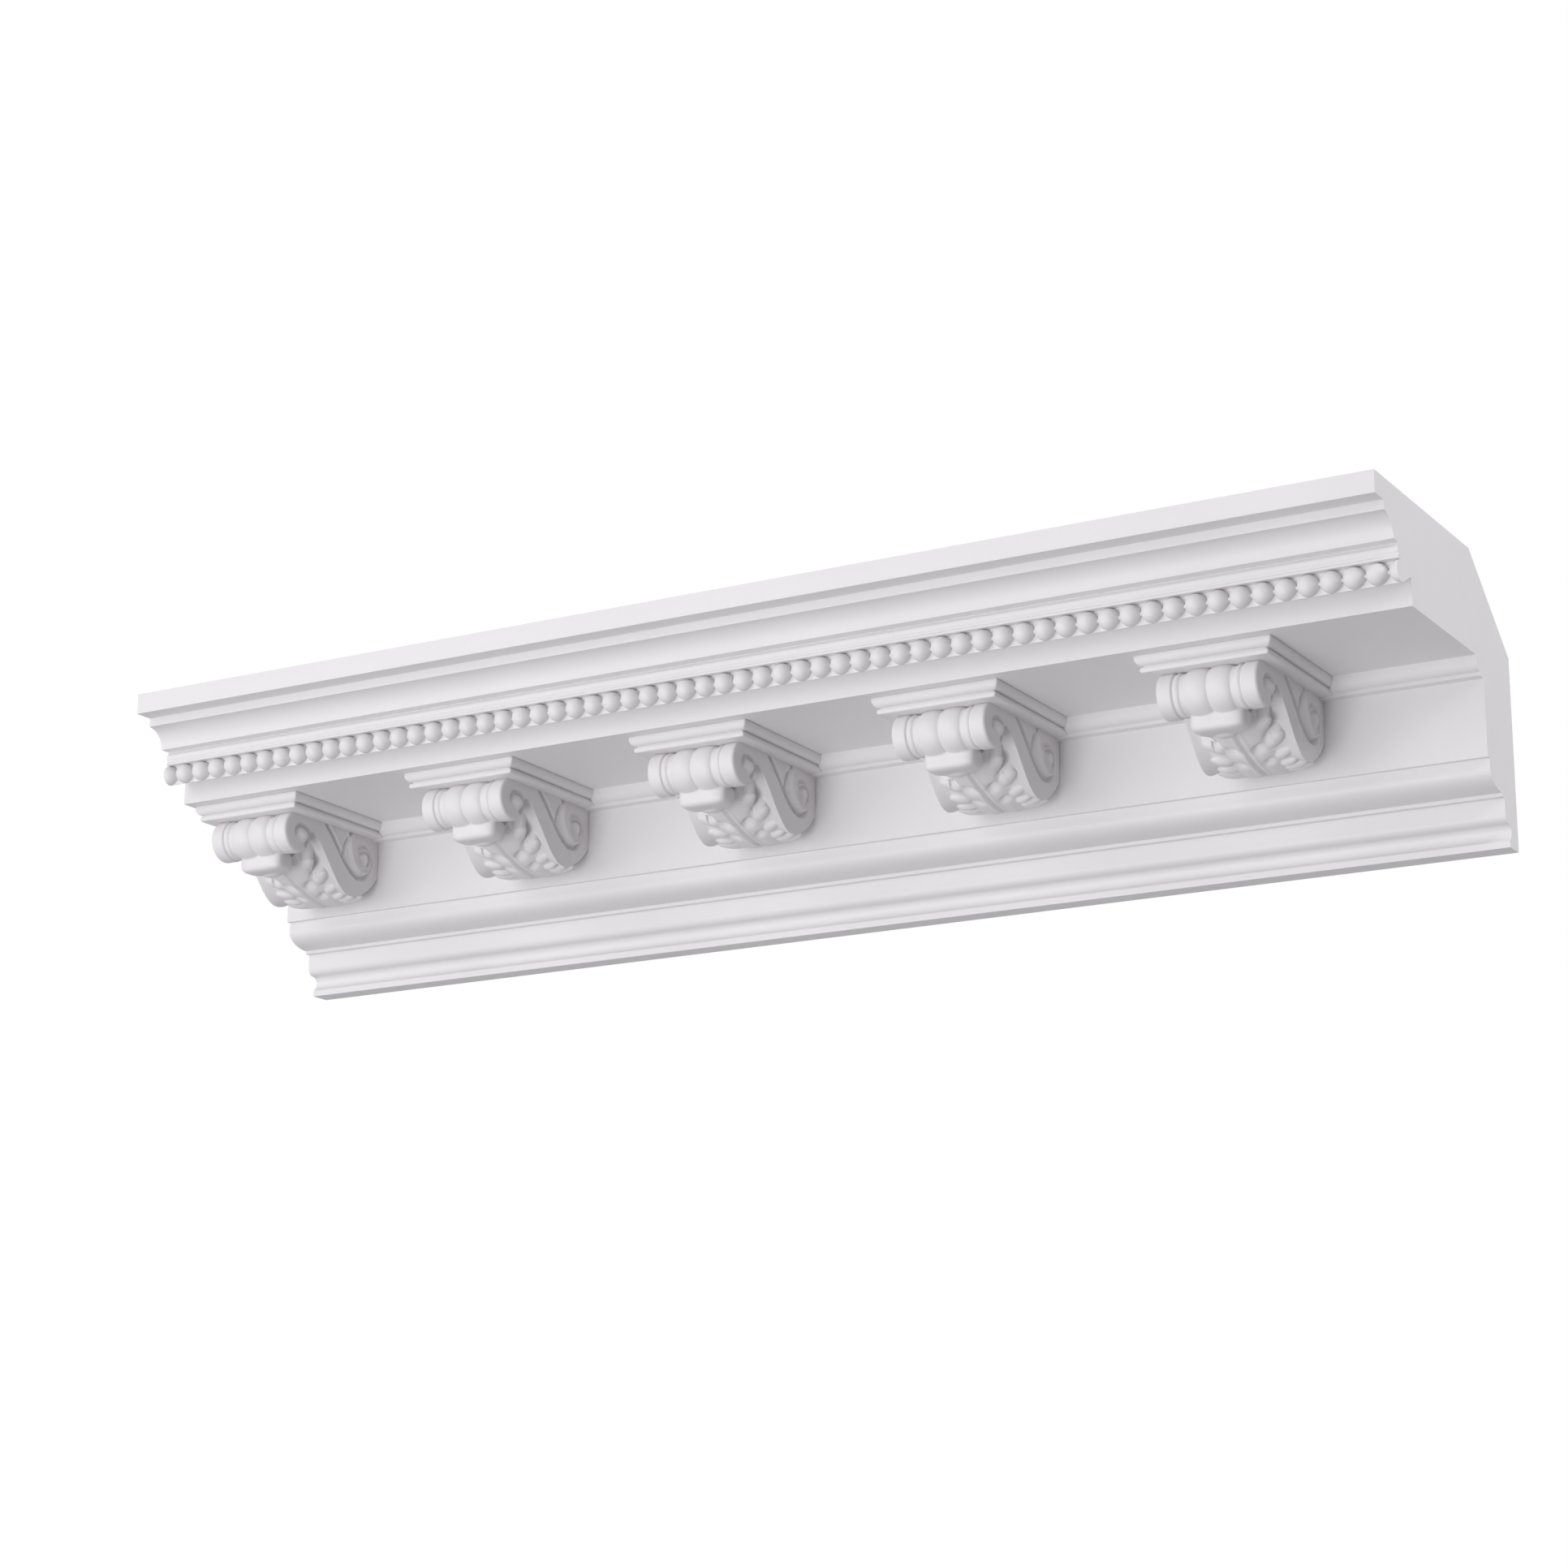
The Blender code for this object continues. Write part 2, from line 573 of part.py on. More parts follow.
def make_tip(collection):
    """The leaf's turned-over tip, a flattened round form tilted under the roll."""
    bm = bmesh.new()
    bmesh.ops.create_uvsphere(bm, u_segments=TIP_SIDES, v_segments=TIP_RINGS, radius=0.5)
    size = Matrix.Diagonal((2 * TIP_HALF_WIDTH, TIP_LENGTH, TIP_THICKNESS, 1))
    upright = Matrix.Rotation(radians(90), 4, "Y")
    centre = place(ROLL_OUT - TIP_BEHIND_ROLL, ROLL_HEIGHT - TIP_BELOW_ROLL)
    tilt = Matrix.Rotation(-TIP_TILT, 4, "X")
    bmesh.ops.transform(bm, matrix=Matrix.Translation(centre) @ tilt @ size @ upright, verts=bm.verts)
    mesh = bpy.data.meshes.new("tip")
    bm.to_mesh(mesh)
    bm.free()
    return add_object("tip", mesh, collection)


def spiral_groove(name, points, side, collection):
    """A groove cutter that follows (out, height) points on one side of the scroll."""
    curve = bpy.data.curves.new(name, "CURVE")
    curve.dimensions = "3D"
    curve.bevel_depth = SPIRAL_GROOVE_RADIUS
    curve.bevel_resolution = 0
    curve.use_fill_caps = True
    spline = curve.splines.new("POLY")
    spline.points.add(len(points) - 1)
    for point, (out, height) in zip(spline.points, points):
        point.co = (*place(out, height, side), 1)
    return to_mesh_object(name, add_object(name + "_path", curve, collection))


def front_spiral():
    """Round the eye of the front volute, from behind and below it over its top."""
    centre = (ROLL_OUT - FRONT_EYE_SETBACK, ROLL_HEIGHT - FRONT_EYE_DROP)
    return arc(centre, FRONT_EYE_RADIUS, FRONT_EYE_RADIUS, FRONT_EYE_START_ANGLE, 0)


def back_spiral():
    """Down the scroll's side from the cap, under the back volute and round its eye."""
    eye = (BACK_EYE_OUT, SOFFIT - BACK_EYE_DROP)
    start = (eye[0] + BACK_SWEEP_START_OUT, CAP_FOOT - BACK_SWEEP_START_GAP)
    leads = []
    for out, height in (BACK_SWEEP_UPPER_LEAD, BACK_SWEEP_LOWER_LEAD, BACK_SWEEP_END):
        leads.append((eye[0] + out, eye[1] + height))
    sweep = bezier(start, *leads, BACK_SWEEP_STEPS)
    return sweep + arc(eye, BACK_EYE_RADIUS, BACK_EYE_RADIUS, BACK_EYE_START_ANGLE, BACK_EYE_END_ANGLE)


def make_bracket(collection):
    """One scrolled bracket with its cap, at the middle of the length."""
    scroll = make_scroll(collection)
    steps = [
        ("UNION", make_roll(collection)),
        ("UNION", make_leaf(collection)),
        ("UNION", make_tip(collection)),
    ]
    face = BRACKET_WIDTH / 2
    for side in (-1, 1):
        front = spiral_groove("front_spiral", front_spiral(), side * (face + ROLL_PROUD), collection)
        back = spiral_groove("back_spiral", back_spiral(), side * face, collection)
        steps += [("DIFFERENCE", front), ("DIFFERENCE", back)]
    steps.append(("UNION", make_cap(collection)))
    return merge("bracket", scroll, *steps)


def make_brackets(collection):
    """As many brackets as the length holds whole, from the left end on."""
    room = LENGTH - FIRST_BRACKET_INSET - CAP_HALF_WIDTH
    count = floor(room / BRACKET_PITCH) + 1
    pattern = make_bracket(collection)
    brackets = []
    for i in range(count):
        bracket = add_object("bracket", pattern.data.copy(), collection)
        x = -LENGTH / 2 + FIRST_BRACKET_INSET + i * BRACKET_PITCH
        bracket.data.transform(Matrix.Translation((x, 0, 0)))
        brackets.append(bracket)
    bpy.data.objects.remove(pattern)
    return brackets


def make_saw_block(collection):
    """The space between the two square sawn ends."""
    bm = bmesh.new()
    bmesh.ops.create_cube(bm, size=1)
    scale = (LENGTH, 3 * PROJECTION, 3 * DROP)
    bmesh.ops.scale(bm, verts=bm.verts, vec=scale)
    mesh = bpy.data.meshes.new("saw_block")
    bm.to_mesh(mesh)
    bm.free()
    return add_object("saw_block", mesh, collection)


def make_cornice():
    """The whole cast length as one solid."""
    parts = make_collection("cornice")
    cutters = make_collection("cutters")
    run = prism("run", run_outline(), LENGTH / 2 + SAW_ALLOWANCE, parts)
    steps = [("UNION", bracket) for bracket in make_brackets(cutters)]
    steps += [("UNION", make_bead_row(cutters)), ("INTERSECT", make_saw_block(cutters))]
    cornice = merge("cornice", run, *steps)
    cornice.data.materials.append(make_material())
    cornice.data.shade_smooth()
    cornice.data.set_sharp_from_angle(angle=SHARP_ANGLE)


for old in list(bpy.data.objects):
    bpy.data.objects.remove(old)
make_cornice()
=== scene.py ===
"""Looks of the moulded cornice: its fine run, bead row and carved brackets.

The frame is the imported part's: X along the length, the wall at Y = 0 with the room on the -Y
side, +Z up. "Out" is the distance from the wall and "height" the distance above the bottom edge.
"""

from math import atan, ceil, cos, floor, pi, radians, sin, sqrt, tan

import bmesh
import bpy
import numpy as np
from mathutils import Matrix, Vector


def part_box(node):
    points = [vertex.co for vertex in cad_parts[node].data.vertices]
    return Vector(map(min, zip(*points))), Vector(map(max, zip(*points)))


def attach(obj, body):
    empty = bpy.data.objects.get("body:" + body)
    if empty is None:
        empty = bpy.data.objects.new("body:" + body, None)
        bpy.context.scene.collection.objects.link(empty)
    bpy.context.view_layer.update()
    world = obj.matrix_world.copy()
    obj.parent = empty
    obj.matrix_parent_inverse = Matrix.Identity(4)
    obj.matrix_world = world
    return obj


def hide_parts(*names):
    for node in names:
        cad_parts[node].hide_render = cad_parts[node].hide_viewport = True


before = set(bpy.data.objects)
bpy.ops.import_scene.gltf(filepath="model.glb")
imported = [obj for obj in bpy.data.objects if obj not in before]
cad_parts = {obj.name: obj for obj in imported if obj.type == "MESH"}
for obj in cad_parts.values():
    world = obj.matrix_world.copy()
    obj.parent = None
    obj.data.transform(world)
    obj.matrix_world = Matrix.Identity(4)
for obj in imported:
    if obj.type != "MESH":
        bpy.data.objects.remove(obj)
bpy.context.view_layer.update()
LOW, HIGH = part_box("cornice")

MM = 0.001

# Overall sizes, read from the frame
LENGTH = HIGH.x - LOW.x
DROP = HIGH.z - LOW.z
PROJECTION = HIGH.y - LOW.y
BOTTOM = LOW.z
WALL_FACE_HEIGHT = -2 * BOTTOM
CEILING_FACE_SETBACK = 74.5 * MM

# Members below the frieze
FOOT_FILLET_HEIGHT = 4.8 * MM
FOOT_FILLET_OUT = 17.6 * MM
SCOTIA_HEIGHT = 11.6 * MM
SCOTIA_DEPTH = 5.7 * MM
SCOTIA_START_ANGLE = 245
NOSE_HEIGHT = 5.6 * MM
NOSE_DEPTH = 5.8 * MM
NOSE_FACE_HEIGHT = 11.3 * MM
NOSE_OUT = 25.3 * MM
NECK_HEIGHT = 2.7 * MM
NECK_STEP = 4.7 * MM
LOWER_OVOLO_HEIGHT = 12.0 * MM
LOWER_OVOLO_DEPTH = 22.4 * MM
LOWER_OVOLO_FACE_HEIGHT = 7.4 * MM

# Frieze and bed mould
FRIEZE_OUT = 56.0 * MM
BED_FILLET_HEIGHT = 2.7 * MM
BED_FILLET_STEP = 7.6 * MM
BED_OVOLO_HEIGHT = 10.6 * MM
BED_OVOLO_DEPTH = 6.7 * MM

# Corona, bead seat and crown
CORONA_HEIGHT = 19.9 * MM
CORONA_RECESS = 17.6 * MM
LIP_DROP = 8.8 * MM
SEAT_HEIGHT = 15.4 * MM
SEAT_RECESS = 5.8 * MM
REED_HEIGHT = 2.4 * MM
REED_HALF_ANGLE = 80
QUIRK_HEIGHT = 2.2 * MM
QUIRK_DEPTH = 1.1 * MM
BAND_FACE_HEIGHT = 3.2 * MM
BAND_CHAMFER_HEIGHT = 3.2 * MM
BAND_CHAMFER_DEPTH = 2.4 * MM
BAND_RECESS = 7.0 * MM
COVE_HEIGHT = 15.2 * MM
COVE_DEPTH = 15.8 * MM
COVE_FILLET_HEIGHT = 6.8 * MM
FASCIA_HEIGHT = 16.0 * MM
FASCIA_OVERHANG = 15.3 * MM
SOFT_EDGE = 0.4 * MM
SOFT_SHARE = 0.42
SOFT_TURN = radians(20)
ARC_STEP = 0.9 * MM
ARC_LEAST_STEPS = 6
SMALLEST_STEP = 0.0001 * MM
SHARP_ANGLE = radians(32)

# Bead row
BEAD_DIAMETER = 15.3 * MM
BEAD_PITCH = 16.075 * MM
BEAD_STAND = 1.2 * MM
BEAD_NECK_RADIUS = 1.5 * MM
BEAD_NECK_LENGTH = 0.4 * BEAD_PITCH
BEAD_NECK_SEGMENTS = 12
BEAD_END_GAP = 0.02 * MM
BEAD_SEGMENTS = 28
BEAD_RINGS = 18

# Brackets
BRACKET_PITCH = 205.2 * MM
FIRST_BRACKET_INSET = 53.4 * MM
BRACKET_HALF_WIDTH = 37.4 * MM
CAP_OVERHANG = 13.1 * MM
CAP_SETBACK = 10.0 * MM
CAP_OVOLO_HEIGHT = 7.2 * MM
CAP_OVOLO_DEPTH = 4.4 * MM
CAP_QUIRK_HEIGHT = 0.9 * MM
CAP_QUIRK_DEPTH = 0.3 * MM
CAP_BEAD_HEIGHT = 4.0 * MM
CAP_BEAD_STAND = 1.4 * MM
CAP_BEAD_ROUND = 1.2 * MM
CAP_NOSE_HEIGHT = 1.4 * MM
CAP_NOSE_BACK = 0.6 * MM
CAP_CORNER_RADIUS = 1.3 * MM
CAP_CORNER_STEPS = 3
ROLL_SETBACK = 5.5 * MM
ROLL_RADIUS = 16.5 * MM
ROLL_SINK = 1.8 * MM
NOTCH_GAP = 2.9 * MM
NOTCH_RISE = 3.9 * MM
BELLY_DROP = 65.0 * MM
BELLY_OUT = 92.0 * MM
HEEL_RISE = 22.0 * MM
NOTCH_PULL = (0.35, 0.22)
BELLY_FRONT_PULL = 0.36
BELLY_BACK_PULL = 0.4
HEEL_PULL = (0.2, 0.45)
SWEEP_STEPS = 60
HEEL_STEPS = 40
EMBED = 3.0 * MM

# Cove under the scroll, between its side edges and the leaf
FIELD_LEAD = 6.0 * MM
FIELD_WIDTH = 9.5 * MM
FIELD_DEPTH = 5.5 * MM
FIELD_LEAN = 0.75
FIELD_ROUNDING = 1.3
FIELD_SLOPE = 1.0
FIELD_COLUMNS = 60

# Turned members of the roll, from its middle to its ends
REED_CENTRE = 8.5 * MM
REED_HALF_WIDTH = 8.4 * MM
REED_STAND = 2.4 * MM
RIDGE_CENTRE = 22.6 * MM
RIDGE_HALF_WIDTH = 1.9 * MM
RIDGE_STAND = 1.1 * MM
FLUTE_DEPTH = 1.6 * MM
BAND_START = 26.0 * MM
GROOVE_WIDTH = 1.2 * MM
RIM_RADIUS = 2.4 * MM
SWELL = 0.6
ROLL_COLUMNS = 240
ROLL_SEGMENTS = 96

# Leaf under the scroll, and its tip turned over under the roll
LEAF_HEEL_OUT = 67.0 * MM
LEAF_TIP_OUT = 141.0 * MM
LEAF_STAND = 1.0 * MM
LEAF_TIP_RISE = 24.2 * MM
LEAF_HEEL_RISE = 2.6 * MM
LEAF_HALF_WIDTH = 19.0 * MM
LEAF_SWELL = 1.6 * MM
LEAF_FALL = 3.4 * MM
LEAF_FALL_POWER = 2.2
LEAF_HEEL_FALL = 0.45
LEAF_COLUMNS = 60
LEAF_ROWS = 150
LOBE_INSET = 1.0 * MM
LUMP_SUBDIVISIONS = 4
LEAF_MARGIN = 3.0 * MM
LEAF_SLACK = 7.0 * MM
TIP_TURN = 1.7
HEEL_TURN = 6
RIB_CENTRE = 3.1 * MM
RIB_STAND = 1.1 * MM
TIP_BEHIND_ROLL = 8.5 * MM
TIP_BELOW_ROLL = 19.2 * MM
TIP_HALF_WIDTH = 20.0 * MM
TIP_LENGTH = 22.0 * MM
TIP_THICKNESS = 17.0 * MM
TIP_SQUARENESS = 4.5
TIP_BLUNTNESS = 4.0
TIP_POINT_BACK = 16.0 * MM
TIP_POINT_BELOW = 26.0 * MM
TIP_POINT_SIZE = (9.0 * MM, 6.0 * MM, 3.4 * MM)

# Lobes of the leaf: side, out, rise above the middle line, half-sizes and turn in degrees
LOBES = (
    (17.0 * MM, 125.0 * MM, 1.8 * MM, (10.8 * MM, 6.0 * MM, 5.0 * MM), 28),
    (19.5 * MM, 109.5 * MM, 0.6 * MM, (12.4 * MM, 6.0 * MM, 5.2 * MM), 34),
    (22.0 * MM, 96.5 * MM, -0.6 * MM, (10.0 * MM, 4.6 * MM, 4.6 * MM), 30),
    (23.0 * MM, 87.0 * MM, -1.6 * MM, (8.6 * MM, 3.9 * MM, 4.4 * MM), 26),
    (24.0 * MM, 78.5 * MM, -1.2 * MM, (10.5 * MM, 4.6 * MM, 4.4 * MM), 18),
    (21.5 * MM, 70.5 * MM, -0.4 * MM, (13.0 * MM, 4.2 * MM, 4.0 * MM), 6),
)

# Drilled eyes between the lobes: side, out, depth and radius
LEAF_EYES = (
    (9.6 * MM, 109.5 * MM, 5.0 * MM, 3.4 * MM),
    (20.5 * MM, 117.5 * MM, 5.0 * MM, 2.8 * MM),
    (11.0 * MM, 93.5 * MM, 3.6 * MM, 2.8 * MM),
)
EYE_LENGTHENING = 1.5
EYE_TURN = radians(32)

# Spirals on the bracket's sides
BACK_EYE_OUT = 76.0 * MM
BACK_EYE_DROP = 31.5 * MM
BACK_EYE_RADIUS = 9.8 * MM
EYE_RADIUS = 6.2 * MM
FRONT_EYE_SETBACK = 6.0 * MM
FRONT_EYE_DROP = 1.5 * MM
FRONT_EYE_RADIUS = 8.0 * MM
BACK_BOSS = (5.0 * MM, 6.4 * MM)
FRONT_BOSS = (5.0 * MM, 4.2 * MM)
GROOVE_CUT = 4.2 * MM
GROOVE_HALF_WIDTH = 1.6 * MM
INNER_CUT = 3.0 * MM
INNER_HALF_WIDTH = 1.2 * MM
RIBBON_STAND = 3.4 * MM
RIBBON_HALF_WIDTH = 2.6 * MM
CURL_RADIUS = 7.9 * MM
CURL_HALF_WIDTH = 1.5 * MM
STROKE_STAND = 1.4 * MM
STROKE_HALF_WIDTH = 1.5 * MM
END_FADE = 6

# Curves carved on the sides: leading points in mm, out from the back eye and above it
MAIN_SWEEP = ((48.7, 19.4), (31.0, 4.5), (18.5, -17.5), (3.0, -15.9))
MAIN_HEEL = ((3.0, -15.9), (-7.0, -15.5), (-9.8, -5.0), (-9.8, 0.0))
INNER_SWEEP = ((16.0, 19.4), (24.0, 11.0), (26.5, 4.0), (25.5, -4.5))
RIBBON_SWEEP = ((19.0, 15.0), (21.0, -5.0), (10.0, -12.6), (0.5, -11.9))
RIBBON_HEEL = ((0.5, -11.9), (-5.0, -11.4), (-7.9, -5.0), (-7.9, 0.0))
STROKE_SWEEP = ((46.0, 19.4), (38.0, 12.0), (31.0, 5.0), (27.0, -2.0))
CURVE_STEPS = 24

# Angles round the eyes where the curls start and end, from out towards up
HEEL_START = 180
MAIN_END = 20
CURL_END = 30
INNER_START = 215
INNER_END = 20
FRONT_START = 235
FRONT_END = -20

# Rib along the leaf's middle: fading at its ends, ridge widths and groove
RIB_TIP_FADE = 12
RIB_HEEL_FADE = 10
RIB_SPREAD = 0.6 * RIB_CENTRE
RIB_GROOVE_CUT = 0.9 * RIB_STAND
RIB_GROOVE_SPREAD = 0.4 * RIB_CENTRE

# Where the relief is pressed in: how far a face turns to the side or down, and how near the side
FACING_START = 0.5
BELOW_START = 0.2
FACING_RANGE = 0.4
SIDE_START = BRACKET_HALF_WIDTH - 2.0 * MM

# Fineness of the carved surface
CARVING_VOXEL = 0.45 * MM
CARVING_FACES = 110000
FUSED_SMOOTHING = 0.5
FUSED_PASSES = 3
CARVED_SMOOTHING = 0.4

# Camera: lens and sensor width in mm, place in metres
CAMERA_LENS = 80.27
CAMERA_SENSOR = 36.0
CAMERA_PLACE = (1.25437, -2.28178, -0.65734)

# Floor and lights, in metres and watts: place, width and power of each light
FLOOR_HALF_WIDTH = 9.0
FLOOR_HEIGHT = -3.2
LIGHT_TARGET = (0, -0.1, 0)
KEY_LIGHT = ((-2.4, -4.4, 0.7), 3.6, 82)
LOW_LIGHT = ((-0.5, -4.2, -2.1), 2.4, 90)
RIGHT_LIGHT = ((3.2, -0.6, 1.9), 1.4, 42)
RIGHT_LIGHT_TARGET = (0.4, -0.1, 0)

# Heights and projections that follow from the sizes above
FASCIA_FOOT = DROP - FASCIA_HEIGHT
COVE_TOP = FASCIA_FOOT - COVE_FILLET_HEIGHT
COVE_FOOT = COVE_TOP - COVE_HEIGHT
BAND_TOP = COVE_FOOT - BAND_CHAMFER_HEIGHT
QUIRK_TOP = BAND_TOP - BAND_FACE_HEIGHT
REED_TOP = QUIRK_TOP - QUIRK_HEIGHT
SEAT_TOP = REED_TOP - REED_HEIGHT
LIP_HEIGHT = SEAT_TOP - SEAT_HEIGHT
CORONA_TOP = LIP_HEIGHT + LIP_DROP
SOFFIT = CORONA_TOP - CORONA_HEIGHT
BED_FOOT = SOFFIT - BED_OVOLO_HEIGHT
FRIEZE_TOP = BED_FOOT - BED_FILLET_HEIGHT
COVE_OUT = PROJECTION - FASCIA_OVERHANG
BAND_OUT = COVE_OUT - COVE_DEPTH - BAND_RECESS
SEAT_OUT = BAND_OUT - SEAT_RECESS
CORONA_OUT = SEAT_OUT - CORONA_RECESS
SCOTIA_TOP = FOOT_FILLET_HEIGHT + SCOTIA_HEIGHT
NOSE_FACE_FOOT = SCOTIA_TOP + NOSE_HEIGHT
NECK_FOOT = NOSE_FACE_FOOT + NOSE_FACE_HEIGHT
NECK_TOP = NECK_FOOT + NECK_HEIGHT
LOWER_OVOLO_TOP = NECK_TOP + LOWER_OVOLO_HEIGHT
FRIEZE_FOOT = LOWER_OVOLO_TOP + LOWER_OVOLO_FACE_HEIGHT
NECK_OUT = NOSE_OUT + NECK_STEP
BED_OUT = FRIEZE_OUT + BED_FILLET_STEP
CAP_FOOT = SOFFIT - CAP_OVOLO_HEIGHT - CAP_QUIRK_HEIGHT - CAP_BEAD_HEIGHT
CAP_OUT = CORONA_OUT - CAP_SETBACK
CAP_HALF_WIDTH = BRACKET_HALF_WIDTH + CAP_OVERHANG
ROLL_OUT = CAP_OUT - ROLL_SETBACK - ROLL_RADIUS
ROLL_HEIGHT = CAP_FOOT - ROLL_RADIUS + ROLL_SINK
NOTCH_OUT = ROLL_OUT - ROLL_RADIUS - NOTCH_GAP
NOTCH_HEIGHT = ROLL_HEIGHT + NOTCH_RISE
BELLY_HEIGHT = SOFFIT - BELLY_DROP


def place(out, height, side=0.0):
    """A point of the part from its side position, distance from the wall and height."""
    return Vector((side, -out, height + BOTTOM))


def new_object(name, bm):
    """Keep a bmesh as an object, shaded smooth except at its sharp edges."""
    mesh = bpy.data.meshes.new(name)
    bm.to_mesh(mesh)
    bm.free()
    mesh.shade_smooth()
    mesh.set_sharp_from_angle(angle=SHARP_ANGLE)
    obj = bpy.data.objects.new(name, mesh)
    bpy.context.scene.collection.objects.link(obj)
    return obj


def arc(centre, radius_out, radius_up, start, end):
    """Points on an ellipse, about ARC_STEP apart, by angle in degrees from out towards up."""
    length = radians(abs(end - start)) * (radius_out + radius_up) / 2
    steps = max(ARC_LEAST_STEPS, ceil(length / ARC_STEP))
    points = []
    for i in range(steps + 1):
        angle = radians(start + (end - start) * i / steps)
        points.append((centre[0] + radius_out * cos(angle), centre[1] + radius_up * sin(angle)))
    return points


def bezier(a, b, c, d, steps):
    """Points on a cubic curve from a to d, led by b and c."""
    t = np.linspace(0, 1, steps + 1)[:, None]
    a, b, c, d = (np.array(p, float) for p in (a, b, c, d))
    return (1 - t)**3 * a + 3 * (1 - t)**2 * t * b + 3 * (1 - t) * t * t * c + t**3 * d


def softened(points, radius):
    """Round the corners of a closed outline that turn by more than a little."""
    result = []
    count = len(points)
    for i in range(count):
        before = Vector(points[i - 1])
        here = Vector(points[i])
        after = Vector(points[(i + 1) % count])
        back = before - here
        ahead = after - here
        if min(back.length, ahead.length) < SMALLEST_STEP:
            continue
        turn = pi - back.angle(ahead)
        if turn < SOFT_TURN:
            result.append(tuple(here))
            continue
        reach = min(radius * tan(turn / 2), SOFT_SHARE * back.length, SOFT_SHARE * ahead.length)
        first = here + back.normalized() * reach
        last = here + ahead.normalized() * reach
        for t in (0, 0.25, 0.5, 0.75, 1):
            result.append(tuple(first * (1 - t)**2 + here * 2 * t * (1 - t) + last * t * t))
    return result


def run_outline():
    """The run's cross-section in (out, height), from the bottom edge round to the wall face."""
    scotia = (NOSE_OUT - NOSE_DEPTH, FOOT_FILLET_HEIGHT + SCOTIA_HEIGHT / 2)
    nose = (NOSE_OUT - NOSE_DEPTH, NOSE_FACE_FOOT)
    points = [(0, 0), (FOOT_FILLET_OUT, 0), (FOOT_FILLET_OUT, FOOT_FILLET_HEIGHT)]
    points += arc(scotia, SCOTIA_DEPTH, SCOTIA_HEIGHT / 2, SCOTIA_START_ANGLE, 90)
    points += arc(nose, NOSE_DEPTH, NOSE_HEIGHT, 270, 360)[1:]
    points += [(NOSE_OUT, NECK_FOOT), (NECK_OUT, NECK_FOOT)]
    points += arc((NECK_OUT, LOWER_OVOLO_TOP), LOWER_OVOLO_DEPTH, LOWER_OVOLO_HEIGHT, 270, 360)
    points += [(NECK_OUT + LOWER_OVOLO_DEPTH, FRIEZE_FOOT), (FRIEZE_OUT, FRIEZE_FOOT)]
    points += [(FRIEZE_OUT, FRIEZE_TOP), (BED_OUT, FRIEZE_TOP)]
    points += arc((BED_OUT, SOFFIT), BED_OVOLO_DEPTH, BED_OVOLO_HEIGHT, 270, 360)
    points += [(CORONA_OUT, SOFFIT), (CORONA_OUT, CORONA_TOP)]
    points += [(SEAT_OUT, LIP_HEIGHT), (SEAT_OUT, SEAT_TOP), (BAND_OUT, SEAT_TOP)]
    reed = (BAND_OUT - QUIRK_DEPTH, (SEAT_TOP + REED_TOP) / 2)
    points += arc(reed, QUIRK_DEPTH, REED_HEIGHT / 2, -REED_HALF_ANGLE, REED_HALF_ANGLE)
    points += [(BAND_OUT - QUIRK_DEPTH, REED_TOP + QUIRK_HEIGHT / 2)]
    points += [(BAND_OUT, QUIRK_TOP), (BAND_OUT, BAND_TOP)]
    points += [(BAND_OUT - BAND_CHAMFER_DEPTH, COVE_FOOT)]
    points += arc((COVE_OUT, COVE_FOOT), COVE_DEPTH, COVE_HEIGHT, 180, 90)
    points += [(COVE_OUT, FASCIA_FOOT), (PROJECTION, FASCIA_FOOT), (PROJECTION, DROP)]
    return points + [(CEILING_FACE_SETBACK, DROP), (0, WALL_FACE_HEIGHT)]


def make_run():
    """The run of mouldings between the two sawn ends."""
    outline = softened(run_outline(), SOFT_EDGE)
    bm = bmesh.new()
    ring = [bm.verts.new(place(out, height, -LENGTH / 2)) for out, height in outline]
    end = bm.faces.new(ring)
    made = bmesh.ops.extrude_face_region(bm, geom=[end])
    for item in made["geom"]:
        if isinstance(item, bmesh.types.BMVert):
            item.co.x = LENGTH / 2
    bmesh.ops.recalc_face_normals(bm, faces=bm.faces)
    return new_object("run_surface", bm)


def make_bead_row():
    """Round beads on their seat, with a thin neck between neighbours, the end ones sawn."""
    bm = bmesh.new()
    count = round(LENGTH / BEAD_PITCH) + 1
    centre = place(SEAT_OUT + BEAD_STAND, (LIP_HEIGHT + SEAT_TOP) / 2)
    for i in range(count):
        spot = Matrix.Translation(centre + Vector((-LENGTH / 2 + i * BEAD_PITCH, 0, 0)))
        bmesh.ops.create_uvsphere(bm, u_segments=BEAD_SEGMENTS, v_segments=BEAD_RINGS,
                                  radius=BEAD_DIAMETER / 2,
                                  matrix=spot @ Matrix.Rotation(radians(90), 4, "X"))
    for i in range(count - 1):
        middle = centre + Vector((-LENGTH / 2 + (i + 0.5) * BEAD_PITCH, 0, 0))
        spot = Matrix.Translation(middle) @ Matrix.Rotation(radians(90), 4, "Y")
        bmesh.ops.create_cone(bm, cap_ends=True, segments=BEAD_NECK_SEGMENTS, matrix=spot,
                              radius1=BEAD_NECK_RADIUS, radius2=BEAD_NECK_RADIUS,
                              depth=BEAD_NECK_LENGTH)
    for sign in (-1, 1):
        geometry = bm.verts[:] + bm.edges[:] + bm.faces[:]
        end = sign * (LENGTH / 2 - BEAD_END_GAP)
        bmesh.ops.bisect_plane(bm, geom=geometry, plane_co=(end, 0, 0), plane_no=(sign, 0, 0),
                               clear_outer=True)
    rims = [edge for edge in bm.edges if edge.is_boundary]
    bmesh.ops.holes_fill(bm, edges=rims)
    return new_object("bead_row", bm)


